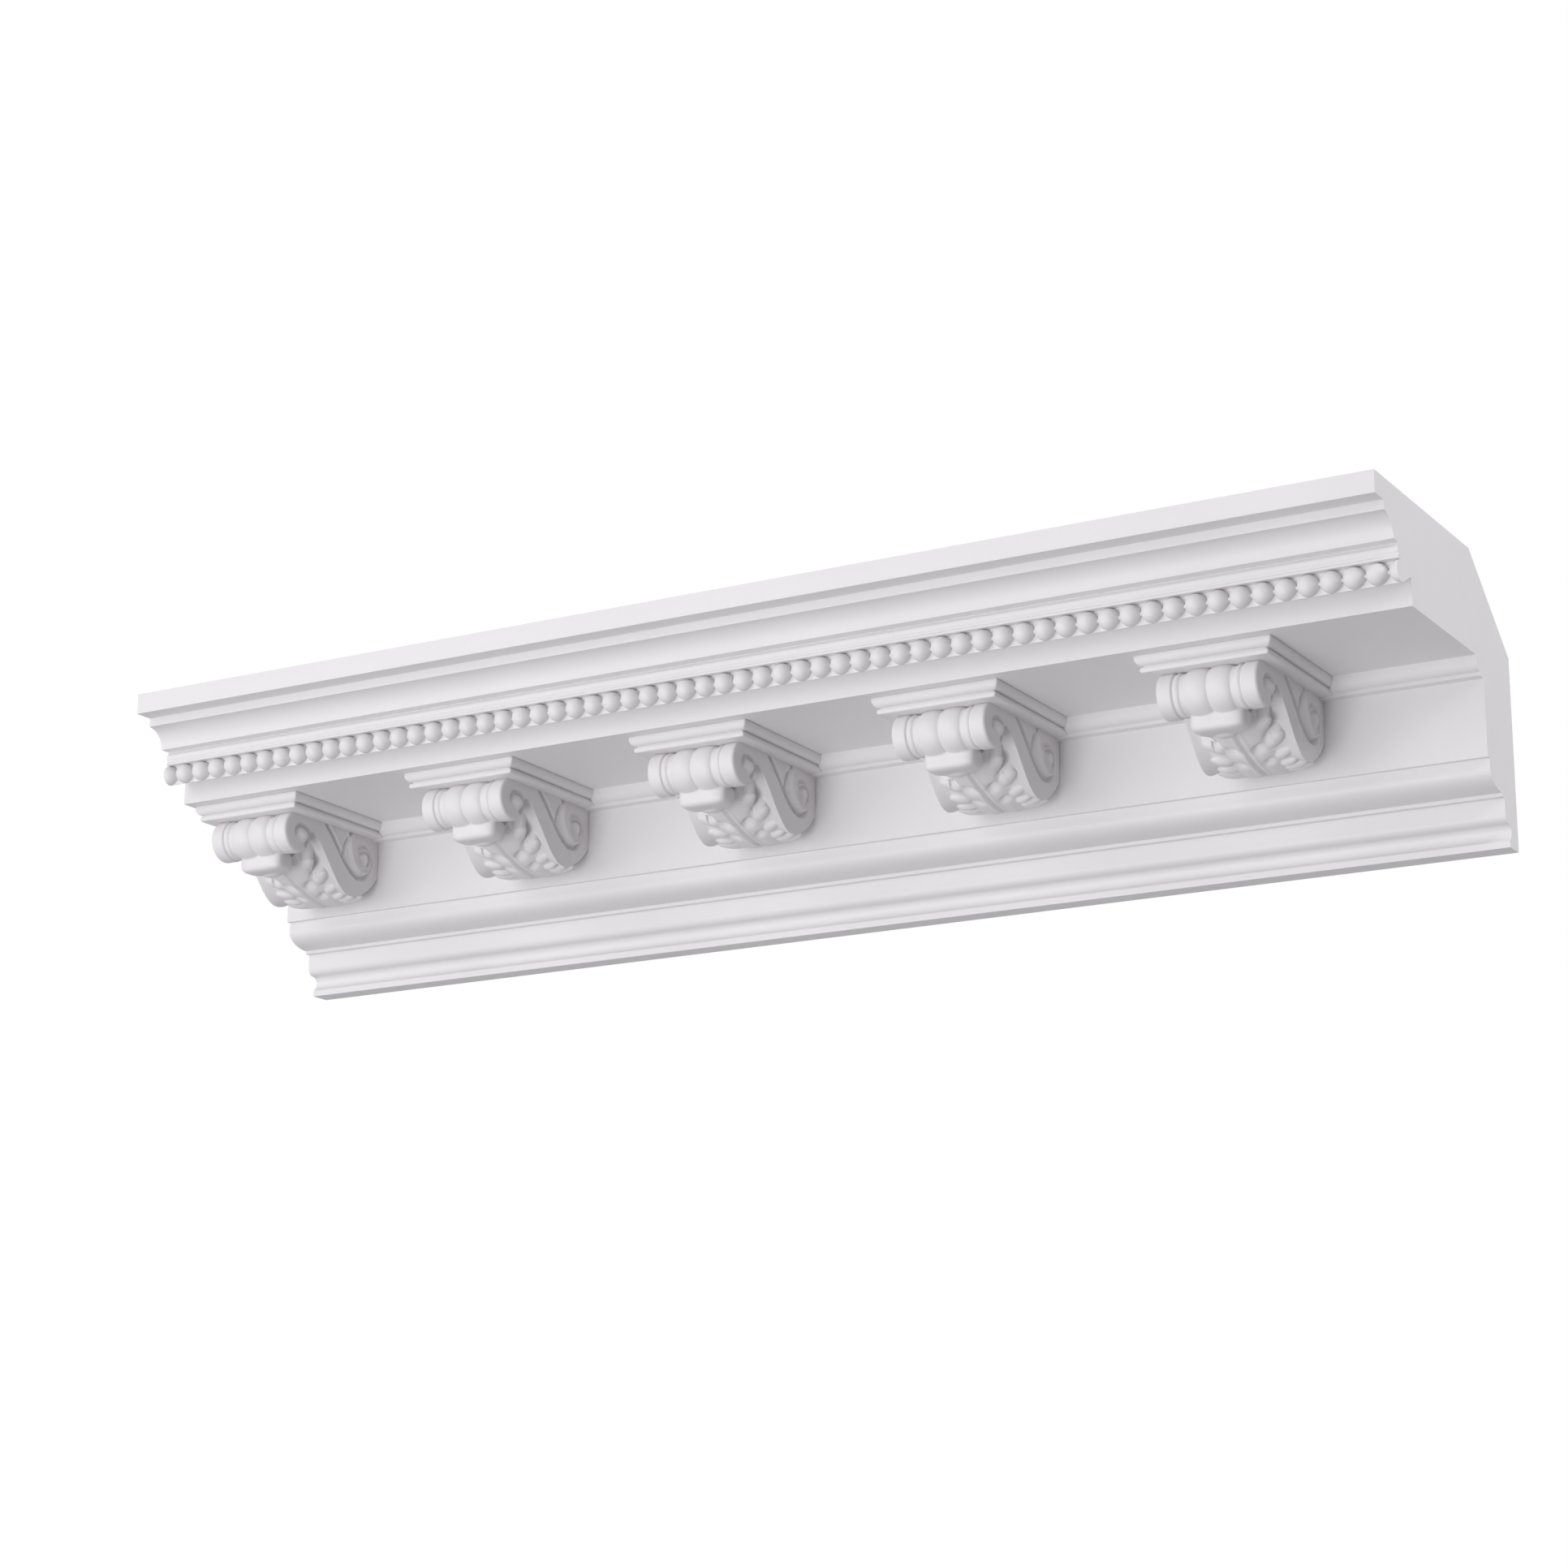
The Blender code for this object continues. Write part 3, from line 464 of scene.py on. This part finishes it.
def cap_section():
    """(inset, height) of the cap's moulded edge, from its top down to its underside."""
    quirk_top = SOFFIT - CAP_OVOLO_HEIGHT
    bead_top = quirk_top - CAP_QUIRK_HEIGHT
    nose = (CAP_OVOLO_DEPTH - CAP_NOSE_BACK, SOFFIT - CAP_NOSE_HEIGHT)
    hollow = (0, SOFFIT - CAP_NOSE_HEIGHT)
    bead = (CAP_BEAD_STAND - CAP_BEAD_ROUND, bead_top - CAP_BEAD_HEIGHT / 2)
    edge = arc(nose, CAP_NOSE_BACK, CAP_NOSE_HEIGHT, 90, 0)
    edge += arc(hollow, CAP_OVOLO_DEPTH, CAP_OVOLO_HEIGHT - CAP_NOSE_HEIGHT, 0, -90)[1:]
    edge += [(-CAP_QUIRK_DEPTH, quirk_top), (-CAP_QUIRK_DEPTH, bead_top)]
    edge += arc(bead, CAP_BEAD_ROUND, CAP_BEAD_HEIGHT / 2, 90, -90)
    points = [(CAP_NOSE_BACK, SOFFIT + EMBED)]
    return points + [(CAP_OVOLO_DEPTH - reach, height) for reach, height in edge]


def cap_ring(inset, height, x):
    """One level of the cap: back, round the two front corners, and back again."""
    side = CAP_HALF_WIDTH - inset
    front = CAP_OUT - inset
    r = CAP_CORNER_RADIUS
    points = [(-side, FRIEZE_OUT - EMBED)]
    for centre, start in ((-side + r, 180), (side - r, 90)):
        for k in range(CAP_CORNER_STEPS + 1):
            angle = radians(start - 90 * k / CAP_CORNER_STEPS)
            points.append((centre + r * cos(angle), front - r + r * sin(angle)))
    points.append((side, FRIEZE_OUT - EMBED))
    return [place(out, height, x + across) for across, out in points]


def add_cap(bm, x):
    """Loft one cap's levels, closed on top, underneath and at the back."""
    rings = []
    for inset, height in cap_section():
        rings.append([bm.verts.new(co) for co in cap_ring(inset, height, x)])
    count = len(rings[0])
    for upper, lower in zip(rings, rings[1:]):
        for i in range(count):
            j = (i + 1) % count
            bm.faces.new((upper[i], upper[j], lower[j], lower[i]))
    bm.faces.new(rings[0])
    bm.faces.new(rings[-1])


def bracket_places():
    """Positions along X of as many brackets as the length holds whole."""
    room = LENGTH - FIRST_BRACKET_INSET - CAP_HALF_WIDTH
    count = floor(room / BRACKET_PITCH) + 1
    return [-LENGTH / 2 + FIRST_BRACKET_INSET + i * BRACKET_PITCH for i in range(count)]


def make_caps():
    """The caps of all the brackets."""
    bm = bmesh.new()
    for x in bracket_places():
        add_cap(bm, x)
    bmesh.ops.recalc_face_normals(bm, faces=bm.faces)
    return new_object("bracket_caps", bm)


def scroll_edge():
    """(out, height) along the lower edge of the bracket's side, from the notch to the heel."""
    fall = NOTCH_HEIGHT - BELLY_HEIGHT
    reach = NOTCH_OUT - BELLY_OUT
    run = BELLY_OUT - FRIEZE_OUT
    belly = (BELLY_OUT, BELLY_HEIGHT)
    heel = (FRIEZE_OUT, BELLY_HEIGHT + HEEL_RISE)
    below_notch = (NOTCH_OUT - NOTCH_PULL[0] * reach, NOTCH_HEIGHT - NOTCH_PULL[1] * fall)
    before_belly = (BELLY_OUT + BELLY_FRONT_PULL * reach, BELLY_HEIGHT)
    after_belly = (BELLY_OUT - BELLY_BACK_PULL * run, BELLY_HEIGHT)
    below_heel = (FRIEZE_OUT + HEEL_PULL[0] * run, heel[1] - HEEL_PULL[1] * HEEL_RISE)
    front = bezier((NOTCH_OUT, NOTCH_HEIGHT), below_notch, before_belly, belly, SWEEP_STEPS)
    back = bezier(belly, after_belly, below_heel, heel, HEEL_STEPS)
    return np.vstack([front, back[1:]])


def add_block(bm, columns, rows, surface, top):
    """A block with a shaped underside: surface(u, v) gives (side, out, height) for 0 to 1."""
    verts = []
    for j in range(rows + 1):
        for i in range(columns + 1):
            side, out, height = surface(i / columns, j / rows)
            verts.append(bm.verts.new(place(out, height, side)))
    faces = []
    for j in range(rows):
        for i in range(columns):
            k = j * (columns + 1) + i
            corners = (k, k + 1, k + columns + 2, k + columns + 1)
            faces.append(bm.faces.new([verts[c] for c in corners]))
    made = bmesh.ops.extrude_face_region(bm, geom=faces)
    for item in made["geom"]:
        if isinstance(item, bmesh.types.BMVert):
            item.co.z = place(0, top).z
    bm.faces.ensure_lookup_table()


def add_field(bm):
    """The scroll's body, coved underneath from each side edge up towards the leaf."""
    edge = scroll_edge()
    steps = len(edge) - 1

    def surface(u, v):
        out, height = edge[round(v * steps)]
        side = (2 * u - 1) * BRACKET_HALF_WIDTH
        along = (NOTCH_OUT + FIELD_LEAD - out) / (NOTCH_OUT + FIELD_LEAD - FRIEZE_OUT)
        inward = min((BRACKET_HALF_WIDTH - abs(side)) / FIELD_WIDTH, 1)
        bay = max(sin(pi * max(along, 0) ** FIELD_LEAN), 0) ** FIELD_ROUNDING
        rise = FIELD_DEPTH * bay * inward ** FIELD_SLOPE
        return side, out, height + rise

    add_block(bm, FIELD_COLUMNS, steps, surface, CAP_FOOT + EMBED)


def add_prism(bm, outline, half_width):
    """A flat (out, height) outline as a solid across the bracket."""
    ring = [bm.verts.new(place(out, height, -half_width)) for out, height in outline]
    made = bmesh.ops.extrude_face_region(bm, geom=[bm.faces.new(ring)])
    for item in made["geom"]:
        if isinstance(item, bmesh.types.BMVert):
            item.co.x = half_width


def add_neck(bm):
    """The part of the bracket's body that joins the roll to the scroll, under the cap."""
    top = CAP_FOOT + EMBED
    outline = [(ROLL_OUT, top), (ROLL_OUT, ROLL_HEIGHT), (NOTCH_OUT, NOTCH_HEIGHT),
               (NOTCH_OUT - EMBED, NOTCH_HEIGHT), (NOTCH_OUT - EMBED, top)]
    add_prism(bm, outline, BRACKET_HALF_WIDTH)


def roll_radius(side):
    """Radius of the roll at a distance from its middle: reeds, flutes, ridges and end bands."""
    x = abs(side)
    reed = REED_STAND * max(1 - ((x - REED_CENTRE) / REED_HALF_WIDTH) ** 2, 0) ** SWELL
    ridge = RIDGE_STAND * max(1 - ((x - RIDGE_CENTRE) / RIDGE_HALF_WIDTH) ** 2, 0) ** SWELL
    base = ROLL_RADIUS - FLUTE_DEPTH
    if x < BAND_START - GROOVE_WIDTH / 2:
        return base + max(reed, ridge)
    band = min(max((x - BAND_START) / GROOVE_WIDTH + 0.5, 0), 1)
    rim = max(x - (BRACKET_HALF_WIDTH - RIM_RADIUS), 0)
    drop = RIM_RADIUS - sqrt(max(RIM_RADIUS ** 2 - rim ** 2, 0))
    return base + FLUTE_DEPTH * sin(band * pi / 2) - drop


def add_roll(bm):
    """The reeded roll, turned about its axis across the bracket."""
    rings = []
    for side in np.linspace(-BRACKET_HALF_WIDTH, BRACKET_HALF_WIDTH, ROLL_COLUMNS):
        radius = roll_radius(side)
        ring = []
        for k in range(ROLL_SEGMENTS):
            angle = 2 * pi * k / ROLL_SEGMENTS
            spot = place(ROLL_OUT + radius * cos(angle), ROLL_HEIGHT + radius * sin(angle), side)
            ring.append(bm.verts.new(spot))
        rings.append(ring)
    for first, second in zip(rings, rings[1:]):
        for k in range(ROLL_SEGMENTS):
            m = (k + 1) % ROLL_SEGMENTS
            bm.faces.new((first[k], first[m], second[m], second[k]))
    bm.faces.new(rings[0])
    bm.faces.new(rings[-1])


def leaf_spine(out):
    """Height of the leaf's middle line at a distance from the wall."""
    t = min(max((out - LEAF_HEEL_OUT) / (LEAF_TIP_OUT - LEAF_HEEL_OUT), 0), 1)
    rise = LEAF_TIP_RISE * t ** TIP_TURN + LEAF_HEEL_RISE * (1 - t) ** HEEL_TURN
    return BELLY_HEIGHT - LEAF_STAND + rise


def leaf_reach(out):
    """Half-width of the leaf at a distance from the wall, out to the edges of its lobes."""
    reach = LEAF_HALF_WIDTH
    for side, lobe_out, rise, radii, turn in LOBES:
        gap = out - lobe_out
        along = cos(radians(turn))
        across = sin(radians(turn))
        a = (along / radii[0]) ** 2 + (across / radii[1]) ** 2
        b = along * across * gap * (1 / radii[0] ** 2 - 1 / radii[1] ** 2)
        c = gap * gap * ((across / radii[0]) ** 2 + (along / radii[1]) ** 2) - 1
        if b * b > a * c:
            reach = max(reach, side + (sqrt(b * b - a * c) - b) / a - LOBE_INSET)
    return reach


def add_leaf(bm):
    """The leaf's blade, swelling on each side of its rib, as a block up into the body."""
    def surface(u, v):
        out = LEAF_HEEL_OUT + (LEAF_TIP_OUT - LEAF_HEEL_OUT) * v
        side = (2 * u - 1) * leaf_reach(out)
        share = abs(side) / LEAF_HALF_WIDTH
        fall = LEAF_FALL * (LEAF_HEEL_FALL + (1 - LEAF_HEEL_FALL) * v) * share ** LEAF_FALL_POWER
        swell = LEAF_SWELL * sin(pi * min(share, 1))
        return side, out, leaf_spine(out) + fall - swell

    add_block(bm, LEAF_COLUMNS, LEAF_ROWS, surface, ROLL_HEIGHT + NOTCH_RISE)


def add_lump(bm, centre, radii, turn, tilt, squareness=2.0, bluntness=2.0):
    """A rounded lump, squarer across and blunter from front to back by its powers."""
    made = bmesh.ops.create_icosphere(bm, subdivisions=LUMP_SUBDIVISIONS, radius=1.0)
    spin = Matrix.Rotation(-turn, 4, "Z")
    lean = Matrix.Rotation(-tilt, 4, "X")
    for vert in made["verts"]:
        p = vert.co
        section = (abs(p.y)**bluntness + abs(p.z)**bluntness) ** (1 / bluntness)
        norm = (abs(p.x)**squareness + section**squareness) ** (1 / squareness)
        p = Vector((p.x * radii[0], p.y * radii[1], p.z * radii[2])) / norm
        vert.co = Matrix.Translation(centre) @ lean @ spin @ p


def add_lobes(bm):
    """The leaf's rounded lobes, which point outwards and towards the tip, on both sides."""
    for side, out, rise, radii, turn in LOBES:
        height = leaf_spine(out) + rise + radii[2]
        slope = atan((leaf_spine(out + MM) - leaf_spine(out - MM)) / (2 * MM))
        for sign in (-1, 1):
            add_lump(bm, place(out, height, sign * side), radii, sign * radians(turn), slope)


def add_tip(bm):
    """The leaf's tip turned over under the roll, with a small point in its middle."""
    centre = place(ROLL_OUT - TIP_BEHIND_ROLL, ROLL_HEIGHT - TIP_BELOW_ROLL)
    size = (TIP_HALF_WIDTH, TIP_LENGTH / 2, TIP_THICKNESS / 2)
    add_lump(bm, centre, size, 0, 0, TIP_SQUARENESS, TIP_BLUNTNESS)
    point = place(ROLL_OUT - TIP_POINT_BACK, ROLL_HEIGHT - TIP_POINT_BELOW)
    add_lump(bm, point, TIP_POINT_SIZE, 0, 0)


def fused(bm):
    """Fuse the bracket's overlapping forms into one skin, as the mould does."""
    bmesh.ops.recalc_face_normals(bm, faces=bm.faces)
    obj = new_object("carving", bm)
    remesh = obj.modifiers.new("fuse", "REMESH")
    remesh.mode = "VOXEL"
    remesh.voxel_size = CARVING_VOXEL
    smooth = obj.modifiers.new("soften", "SMOOTH")
    smooth.factor = FUSED_SMOOTHING
    smooth.iterations = FUSED_PASSES
    return applied(obj)


def applied(obj):
    """Keep what an object's modifiers make as its own mesh."""
    bpy.context.view_layer.update()
    graph = bpy.context.evaluated_depsgraph_get()
    mesh = bpy.data.meshes.new_from_object(obj.evaluated_get(graph), depsgraph=graph)
    obj.modifiers.clear()
    obj.data = mesh
    return obj


def path_distance(points, path):
    """Distance of each (out, height) point from a path, and where along the path it is nearest."""
    nearest = np.full(len(points), 1.0)
    share = np.zeros(len(points))
    lengths = np.hypot(*np.diff(path, axis=0).T)
    total = lengths.sum()
    done = 0.0
    for a, b, length in zip(path, path[1:], lengths):
        t = np.clip(((points - a) @ (b - a)) / length**2, 0, 1)
        gap = np.hypot(*(points - (a + t[:, None] * (b - a))).T)
        closer = gap < nearest
        nearest[closer] = gap[closer]
        share[closer] = (done + t[closer] * length) / total
        done += length
    return nearest, share


def ring_path(centre, radius, start, end):
    """Points round a centre, by angle in degrees from out towards up."""
    angles = np.radians(np.linspace(start, end, CURVE_STEPS))
    return np.array(centre) + radius * np.column_stack([np.cos(angles), np.sin(angles)])


def from_eye(leads):
    """A curve on the bracket's side from its leading points round the back eye."""
    eye = np.array((BACK_EYE_OUT, SOFFIT - BACK_EYE_DROP))
    return eye + bezier(*leads, CURVE_STEPS) * MM


def mark(points, path, height, half_width):
    """A ridge along a path, or a groove if its height is negative, fading at its end."""
    gap, share = path_distance(points, path)
    fade = np.clip(END_FADE * (1 - share), 0, 1)
    return height * fade * np.exp(-(gap / half_width) ** 2)


def boss(points, centre, size):
    """A flat-topped oval lump round a centre."""
    offset = (points - np.array(centre)) / size
    return RIBBON_STAND * np.exp(-np.sum(offset**2, axis=1) ** 1.5)


def side_relief(points):
    """How far the bracket's side stands out at each (out, height) point."""
    eye = (BACK_EYE_OUT, SOFFIT - BACK_EYE_DROP)
    front_eye = (ROLL_OUT - FRONT_EYE_SETBACK, ROLL_HEIGHT - FRONT_EYE_DROP)
    main_ring = ring_path(eye, BACK_EYE_RADIUS, HEEL_START, MAIN_END)
    main = np.vstack([from_eye(MAIN_SWEEP), from_eye(MAIN_HEEL)[1:], main_ring[1:]])
    relief = mark(points, main, -GROOVE_CUT, GROOVE_HALF_WIDTH)
    relief += mark(points, from_eye(INNER_SWEEP), -INNER_CUT, INNER_HALF_WIDTH)
    relief += mark(points, from_eye(RIBBON_SWEEP), RIBBON_STAND, RIBBON_HALF_WIDTH)
    curl_ring = ring_path(eye, CURL_RADIUS, HEEL_START, CURL_END)
    curl = np.vstack([from_eye(RIBBON_HEEL), curl_ring[1:]])
    relief += mark(points, curl, RIBBON_STAND, CURL_HALF_WIDTH)
    relief += mark(points, from_eye(STROKE_SWEEP), STROKE_STAND, STROKE_HALF_WIDTH)
    inner = ring_path(eye, EYE_RADIUS, INNER_START, INNER_END)
    relief += mark(points, inner, -INNER_CUT, INNER_HALF_WIDTH)
    relief += boss(points, eye, BACK_BOSS)
    front = ring_path(front_eye, FRONT_EYE_RADIUS, FRONT_START, FRONT_END)
    relief += mark(points, front, -GROOVE_CUT, GROOVE_HALF_WIDTH)
    return relief + boss(points, front_eye, FRONT_BOSS)


def under_relief(side, out):
    """How far the leaf's underside is moved up at each point: rib, its groove and drilled eyes."""
    x = np.abs(side)
    along = np.clip((out - LEAF_HEEL_OUT) / (LEAF_TIP_OUT - LEAF_HEEL_OUT), 0, 1)
    reach = np.clip(RIB_TIP_FADE * (1 - along), 0, 1) * np.clip(RIB_HEEL_FADE * along, 0, 1)
    ridge = -RIB_STAND * np.exp(-((x - RIB_CENTRE) / RIB_SPREAD) ** 2)
    groove = RIB_GROOVE_CUT * np.exp(-(x / RIB_GROOVE_SPREAD) ** 2)
    lift = (ridge + groove) * reach
    for eye_side, eye_out, depth, width in LEAF_EYES:
        side_gap = x - eye_side
        out_gap = out - eye_out
        along_eye = side_gap * cos(EYE_TURN) + out_gap * sin(EYE_TURN)
        across_eye = out_gap * cos(EYE_TURN) - side_gap * sin(EYE_TURN)
        gap = np.hypot(along_eye / EYE_LENGTHENING, across_eye)
        lift += depth * np.exp(-(gap / width) ** 2)
    return lift


def carve(obj):
    """Press the fine relief into the fused skin: spirals on the sides, rib and eyes below."""
    mesh = obj.data
    count = len(mesh.vertices)
    co = np.empty(3 * count)
    mesh.vertices.foreach_get("co", co)
    co = co.reshape(-1, 3)
    normals = np.empty(3 * count)
    mesh.vertex_normals.foreach_get("vector", normals)
    normals = normals.reshape(-1, 3)
    out = -co[:, 1]
    height = co[:, 2] - BOTTOM
    facing = np.clip((np.abs(normals[:, 0]) - FACING_START) / FACING_RANGE, 0, 1)
    near = np.clip((np.abs(co[:, 0]) - SIDE_START) / MM, 0, 1)
    chosen = np.nonzero(facing * near > 0)[0]
    relief = side_relief(np.column_stack([out[chosen], height[chosen]]))
    co[chosen, 0] += np.sign(co[chosen, 0]) * relief * facing[chosen] * near[chosen]
    below = np.clip((-normals[:, 2] - BELOW_START) / FACING_RANGE, 0, 1)
    spine = np.array([leaf_spine(o) for o in out])
    inside = np.abs(co[:, 0]) < LEAF_HALF_WIDTH + LEAF_MARGIN
    on_leaf = (height < spine + LEAF_SLACK) & (out < LEAF_TIP_OUT) & inside
    co[:, 2] += under_relief(co[:, 0], out) * below * on_leaf
    mesh.vertices.foreach_set("co", co.ravel())
    mesh.update()


def make_carving():
    """One bracket's body at the middle of the length: scroll, roll, leaf and turned tip."""
    bm = bmesh.new()
    add_field(bm)
    add_neck(bm)
    add_roll(bm)
    add_leaf(bm)
    add_lobes(bm)
    add_tip(bm)
    obj = fused(bm)
    carve(obj)
    smooth = obj.modifiers.new("soften", "SMOOTH")
    smooth.factor = CARVED_SMOOTHING
    smooth.iterations = 1
    lighten = obj.modifiers.new("lighten", "DECIMATE")
    lighten.ratio = min(1, CARVING_FACES / (2 * len(obj.data.polygons)))
    applied(obj)
    obj.data.shade_smooth()
    return obj


def make_brackets():
    """A copy of the carved bracket under each cap, all sharing one mesh."""
    pattern = make_carving()
    brackets = []
    for i, x in enumerate(bracket_places()):
        bracket = bpy.data.objects.new(f"bracket_{i + 1}", pattern.data)
        bpy.context.scene.collection.objects.link(bracket)
        bracket.location.x = x
        brackets.append(bracket)
    bpy.data.objects.remove(pattern)
    return brackets


def make_white():
    """Satin white paint on cast foam: faint clouding, a little sheen variation, fine pimples."""
    material = bpy.data.materials.new("moulded_white")
    material.use_nodes = True
    tree = material.node_tree
    shader = tree.nodes["Principled BSDF"]
    where = tree.nodes.new("ShaderNodeTexCoord")
    cloud = tree.nodes.new("ShaderNodeTexNoise")
    cloud.inputs["Scale"].default_value = 9.0
    cloud.inputs["Detail"].default_value = 3.0
    tint = tree.nodes.new("ShaderNodeValToRGB")
    tint.color_ramp.elements[0].position = 0.3
    tint.color_ramp.elements[0].color = (0.785, 0.765, 0.787, 1)
    tint.color_ramp.elements[1].position = 0.7
    tint.color_ramp.elements[1].color = (0.805, 0.785, 0.807, 1)
    sheen = tree.nodes.new("ShaderNodeTexNoise")
    sheen.inputs["Scale"].default_value = 60.0
    sheen.inputs["Detail"].default_value = 2.0
    rough = tree.nodes.new("ShaderNodeMapRange")
    rough.inputs["To Min"].default_value = 0.42
    rough.inputs["To Max"].default_value = 0.56
    grain = tree.nodes.new("ShaderNodeTexNoise")
    grain.inputs["Scale"].default_value = 900.0
    grain.inputs["Detail"].default_value = 2.0
    bump = tree.nodes.new("ShaderNodeBump")
    bump.inputs["Strength"].default_value = 0.12
    bump.inputs["Distance"].default_value = 0.0002
    for noise in (cloud, sheen, grain):
        tree.links.new(where.outputs["Object"], noise.inputs["Vector"])
    tree.links.new(cloud.outputs["Fac"], tint.inputs["Fac"])
    tree.links.new(tint.outputs["Color"], shader.inputs["Base Color"])
    tree.links.new(sheen.outputs["Fac"], rough.inputs["Value"])
    tree.links.new(rough.outputs["Result"], shader.inputs["Roughness"])
    tree.links.new(grain.outputs["Fac"], bump.inputs["Height"])
    tree.links.new(bump.outputs["Normal"], shader.inputs["Normal"])
    return material


def make_camera():
    """The photograph's view: from below, to the right of the middle, along the run."""
    data = bpy.data.cameras.new("camera")
    data.sensor_width = CAMERA_SENSOR
    data.lens = CAMERA_LENS
    camera = bpy.data.objects.new("camera", data)
    bpy.context.scene.collection.objects.link(camera)
    right = Vector((0.86467, 0.502333, 0.002648))
    down = Vector((-0.129114, 0.227332, -0.965220))
    forward = Vector((-0.485464, 0.834255, 0.261426))
    turn = Matrix((right, -down, -forward)).transposed().to_4x4()
    camera.matrix_world = Matrix.Translation(CAMERA_PLACE) @ turn
    bpy.context.scene.camera = camera


def make_area_light(name, light_sizes, target):
    """A square light that looks at a target from its place, with its width and power."""
    spot, width, power = light_sizes
    data = bpy.data.lights.new(name, "AREA")
    data.shape = "SQUARE"
    data.size = width
    data.energy = power
    light = bpy.data.objects.new(name, data)
    bpy.context.scene.collection.objects.link(light)
    light.location = spot
    light.rotation_euler = (Vector(target) - Vector(spot)).to_track_quat("-Z", "Y").to_euler()


def make_surround():
    """A white sweep behind the cornice, a bright ceiling, and a dimmer room in front."""
    world = bpy.data.worlds.new("surround")
    bpy.context.scene.world = world
    world.use_nodes = True
    tree = world.node_tree
    where = tree.nodes.new("ShaderNodeTexCoord")
    axes = tree.nodes.new("ShaderNodeSeparateXYZ")
    above = tree.nodes.new("ShaderNodeMapRange")
    above.interpolation_type = "SMOOTHSTEP"
    above.inputs["From Min"].default_value = 0.0
    above.inputs["From Max"].default_value = 0.8
    above.inputs["To Min"].default_value = 0.3
    above.inputs["To Max"].default_value = 0.6
    behind = tree.nodes.new("ShaderNodeMapRange")
    behind.interpolation_type = "SMOOTHSTEP"
    behind.inputs["From Min"].default_value = 0.4
    behind.inputs["From Max"].default_value = 0.6
    level = tree.nodes.new("ShaderNodeMix")
    level.inputs["B"].default_value = 1.0
    tree.links.new(where.outputs["Generated"], axes.inputs["Vector"])
    tree.links.new(axes.outputs["Z"], above.inputs["Value"])
    tree.links.new(axes.outputs["Y"], behind.inputs["Value"])
    tree.links.new(behind.outputs["Result"], level.inputs["Factor"])
    tree.links.new(above.outputs["Result"], level.inputs["A"])
    tree.links.new(level.outputs["Result"], tree.nodes["Background"].inputs["Strength"])
    tree.nodes["Background"].inputs["Color"].default_value = (1, 1, 1, 1)


def make_studio():
    """Pale floor well below, the surround, and three broad soft lights."""
    bm = bmesh.new()
    bmesh.ops.create_grid(bm, x_segments=1, y_segments=1, size=FLOOR_HALF_WIDTH)
    floor_plane = new_object("floor", bm)
    floor_plane.location.z = FLOOR_HEIGHT
    paint = bpy.data.materials.new("floor_paint")
    paint.use_nodes = True
    shader = paint.node_tree.nodes["Principled BSDF"]
    shader.inputs["Base Color"].default_value = (0.36, 0.36, 0.36, 1)
    shader.inputs["Roughness"].default_value = 0.9
    floor_plane.data.materials.append(paint)
    make_surround()
    make_area_light("key", KEY_LIGHT, LIGHT_TARGET)
    make_area_light("low_fill", LOW_LIGHT, LIGHT_TARGET)
    make_area_light("high_right", RIGHT_LIGHT, RIGHT_LIGHT_TARGET)
    bpy.context.scene.view_settings.view_transform = "Standard"


def make_cornice():
    """The cornice's fine pieces, in white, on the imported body."""
    white = make_white()
    pieces = [make_run(), make_bead_row(), make_caps()] + make_brackets()
    for piece in pieces:
        if not piece.data.materials:
            piece.data.materials.append(white)
        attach(piece, "root")
    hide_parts("cornice")


make_cornice()
make_studio()
make_camera()
